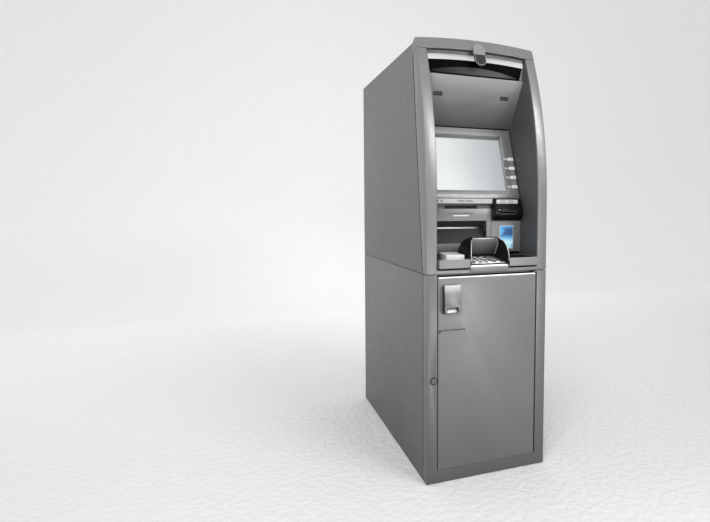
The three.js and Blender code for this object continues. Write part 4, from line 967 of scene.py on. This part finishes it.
def numeral(name, x, y, strokes, body):
    """A numeral made of straight strokes on a key's top."""
    half_w, half_h, thick = 1.5, 2.8, 0.7
    whole = bmesh.new()
    for stroke in strokes:
        right, up, flat = SEGMENTS[stroke]
        size = (2 * half_w + thick, thick) if flat else (thick, half_h + thick)
        part = prism(rounded_outline(*size, thick * 0.45, 2), 0, 0.12)
        part.transform(on_keypad(x + right * half_w, y + up * half_h, KEY_TOP - 0.01))
        absorb(whole, part)
    link(name, finished(whole, name), body, "key_metal", INK)


def tray_details():
    """Dark lining and mat of each tray as painted shade inside it, the shade strip below it, a painted highlight
    on the keypad's nose and a dark strip of painted shade in the gap between the nose and the keypad.
    """
    width, depth = TRAY["width"], TRAY["depth"]
    for side, word in SIDES:
        place = Matrix.Translation(at(side * TRAY["x"], TRAY["y"], TRAY["z"]))
        rings_plate(f"{word}_tray_shade_lining", place, rounded_outline(width, depth, 1.0),
                    rounded_outline(width - 1, depth - 1, 0.6), 0, TRAY["wall"],
                    "fascia", "tray_paint", DARK_RUBBER_AND_SHADE)
        plate(f"{word}_tray_mat", place, (width - 1.4, depth - 1.4), 0.4, 1.0, "fascia", "tray_paint", DARK_RUBBER_AND_SHADE)
        plate(f"{word}_tray_shadow", facing_front(side * 138, -PROUD, 766.6), (118, 6.4), 0.5, 0.4, "fascia",
              "dark_plastic", SEAM_AND_SHADE_BLACK)
    sweep("nose_highlight", [(-5.4, 773.4), (-3.3, 777.3), (3, 778), (3, 777), (-3, 776.6), (-5.0, 773)],
          -73, 73, "fascia", "light_plastic", HIGHLIGHT_WHITE)
    sweep("nose_face", [(-6.5, 765), (-6.4, 771.2), (-5.3, 773.4), (-5.0, 773), (-6.0, 771), (-6.0, 765)],
          -76, 76, "fascia", "light_plastic", MATERIALS["silver_paint"])
    plate("keypad_gap_shade", facing_front(0, 3.9, 780.5), (139, 3.4), 0.4, 0.3, "fascia", "dark_plastic",
          SEAM_AND_SHADE_BLACK)


def seam_details():
    """Thin dark strips of painted shade over the seams between the front pieces and the side panels."""
    slant = (SIDE_TOP[0] - SIDE_FOOT[0]) / (SIDE_TOP[1] - SIDE_FOOT[1])
    for side, word in SIDES:
        x0, x1 = sorted((side * 238.0, side * 240.04))
        sweep(f"{word}_seam_shade_lower", [(34.2, 3), (38.6, 3), (38.6, 748), (34.2, 748)], x0, x1, CABINET,
              "dark_plastic", SEAM_AND_SHADE_BLACK)
        low, high = SIDE_FOOT[1] + 2, 1524
        y_low, y_high = (SIDE_FOOT[0] + slant * (z - SIDE_FOOT[1]) for z in (low, high))
        sweep(f"{word}_seam_shade_upper", [(y_low - 2.8, low), (y_low + 1.6, low), (y_high + 1.6, high),
                                     (y_high - 2.8, high)], x0, x1, CABINET, "dark_plastic", SEAM_AND_SHADE_BLACK)


def door_details():
    """The handle's base and finger tab with a painted highlight, the painted shadow in the pressed line and its
    wedge, a painted highlight along the top edge and the lock's rings.
    """
    plate("handle_mount", facing_front(-152, PROUD, 662), (66, 104), 0.2, 5, "door", "silver_paint",
          LABEL_GREY)
    tab = facing_front(-151, -6, 621) @ Matrix.Rotation(math.radians(-35), 4, "X")
    # the tab's bright white face is a painted highlight
    plate("handle_tab", tab, (43, 15), 1.2, 1.5, "handle", "handle_metal", HIGHLIGHT_WHITE)
    pressed_shadow = [(-196, 548.4), (-188, 549.8), (-99, 549.8), (-95, 548.6), (-93.4, 546.4), (-92, 546.8),
            (-92.8, 550.6), (-96, 552.6), (-100, 553.0), (-196, 553.0)]
    flat_piece("pressed_line_shadow", pressed_shadow, 0.3, facing_front(0, 0.2, 0), "door", "silver_paint", DARK_TRIM_AND_SHADE)
    wedge_shadow = [(-196.5, 541), (-190, 543), (-183, 548), (-183, 551), (-196.5, 552)]
    flat_piece("pressed_wedge_shadow", wedge_shadow, 0.25, facing_front(0, PROUD, 0), "door", "silver_paint", DARK_TRIM_AND_SHADE)
    sweep("door_top_highlight", [(1.7, 736.7), (3.2, 739.6), (3.5, 739.3), (2.1, 736.3)], -193, 193, "door",
          "silver_paint", HIGHLIGHT_WHITE)
    x, z = LOCK
    tube("lock_ring", circle_points(x, -1.6, z, 11.6), 1.2, CABINET, "bolt_steel", SEAM_AND_SHADE_BLACK, closed=True)
    tube("lock_rim", circle_points(x, -2.4, z, 5.6), 0.7, "lock", "bolt_steel", GREY_RIM, closed=True)


def screw_heads(name, places, radius, body, slot, material, sides=14):
    """Small domed screw heads, as one piece."""
    whole = bmesh.new()
    for place in places:
        rings = []
        for z, r in ((0, radius), (0.7, radius * 0.95), (1.3, radius * 0.6), (1.5, radius * 0.25)):
            rings.append([whole.verts.new(place @ (Vector((r * math.cos(a), r * math.sin(a), z)) * MM))
                          for a in (2 * math.pi * k / sides for k in range(sides))])
        for low, high in zip(rings, rings[1:]):
            for k in range(sides):
                j = (k + 1) % sides
                whole.faces.new((low[k], low[j], high[j], high[k]))
        whole.faces.new(rings[-1])
        whole.faces.new(list(reversed(rings[0])))
    return link(name, finished(whole, name), body, slot, material)


def facing_back(x, y, z):
    """Frame whose local z comes out of the back."""
    return Matrix.Translation(at(x, y, z)) @ Matrix.Rotation(-math.pi / 2, 4, "X")


def back_details():
    """Screws of the rear panels and the inlet's pins."""
    back_y = MACHINE_DEPTH - 1.5 + PROUD  # the 1.5 mm heads end PROUD past the back plane
    for word, heights in (("lower", (40, 380, 725)), ("upper", (775, 1160, 1550))):
        heads = [facing_back(x, back_y, z) for x in (-225, 225) for z in heights]
        screw_heads(f"rear_screws_{word}", heads, 4, CABINET, "side_paint", MATERIALS["bolt_steel"])
    pins = [facing_back(x, 889.8, z) for x, z in ((-158, 90), (-150, 93), (-142, 90))]
    plates("inlet_pins", pins, (2, 5), 6, 0.4, CABINET, "bolt_steel", MATERIALS["bolt_steel"])


def safe_details():
    """Combination dial with its ticks and knob on the safe door."""
    place = facing_front(*DIAL_AT)
    steel = MATERIALS["bolt_steel"]
    dial_back = DIAL_BASE * MM
    dial_front = (DIAL_BASE + DIAL_THICK) * MM
    plate("safe_dial_base", place, (74, 74), DIAL_BASE, 36.9, "vault_door", "bolt_steel", steel, 1.0)
    plate("safe_dial", place @ Matrix.Translation((0, 0, dial_back)), (58, 58), DIAL_THICK, 28.9,
          "vault_door", "gloss_black", MATERIALS["gloss_black"], 1.0)
    count, tick_radius = 50, 26.5
    ticks = []
    for k in range(count):
        turn = Matrix.Rotation(2 * math.pi * k / count, 4, "Z")
        ticks.append(place @ turn @ Matrix.Translation((0, tick_radius * MM, dial_front + 0.00001)))
    plates("safe_dial_ticks", ticks, (0.7, 3.2), 0.1, 0.2, "vault_door", "key_plastic", LABEL)
    plate("safe_dial_knob", place @ Matrix.Translation((0, 0, dial_front)), (26, 26), DIAL_KNOB, 12.9,
          "vault_door", "bolt_steel", steel, 1.5)


# ------------------------------------------------------------------ build
dress_cad_nodes()
screen_details()
strip_details()
panel_details()
sign()
sign_clips()
reader_details()
visor_details()
cap_lip_shade()
pod_details()
ceiling_details()
shield_details()
key_legends()
tray_details()
seam_details()
door_details()
back_details()
safe_details()
make_backdrop()
make_light()
make_camera()
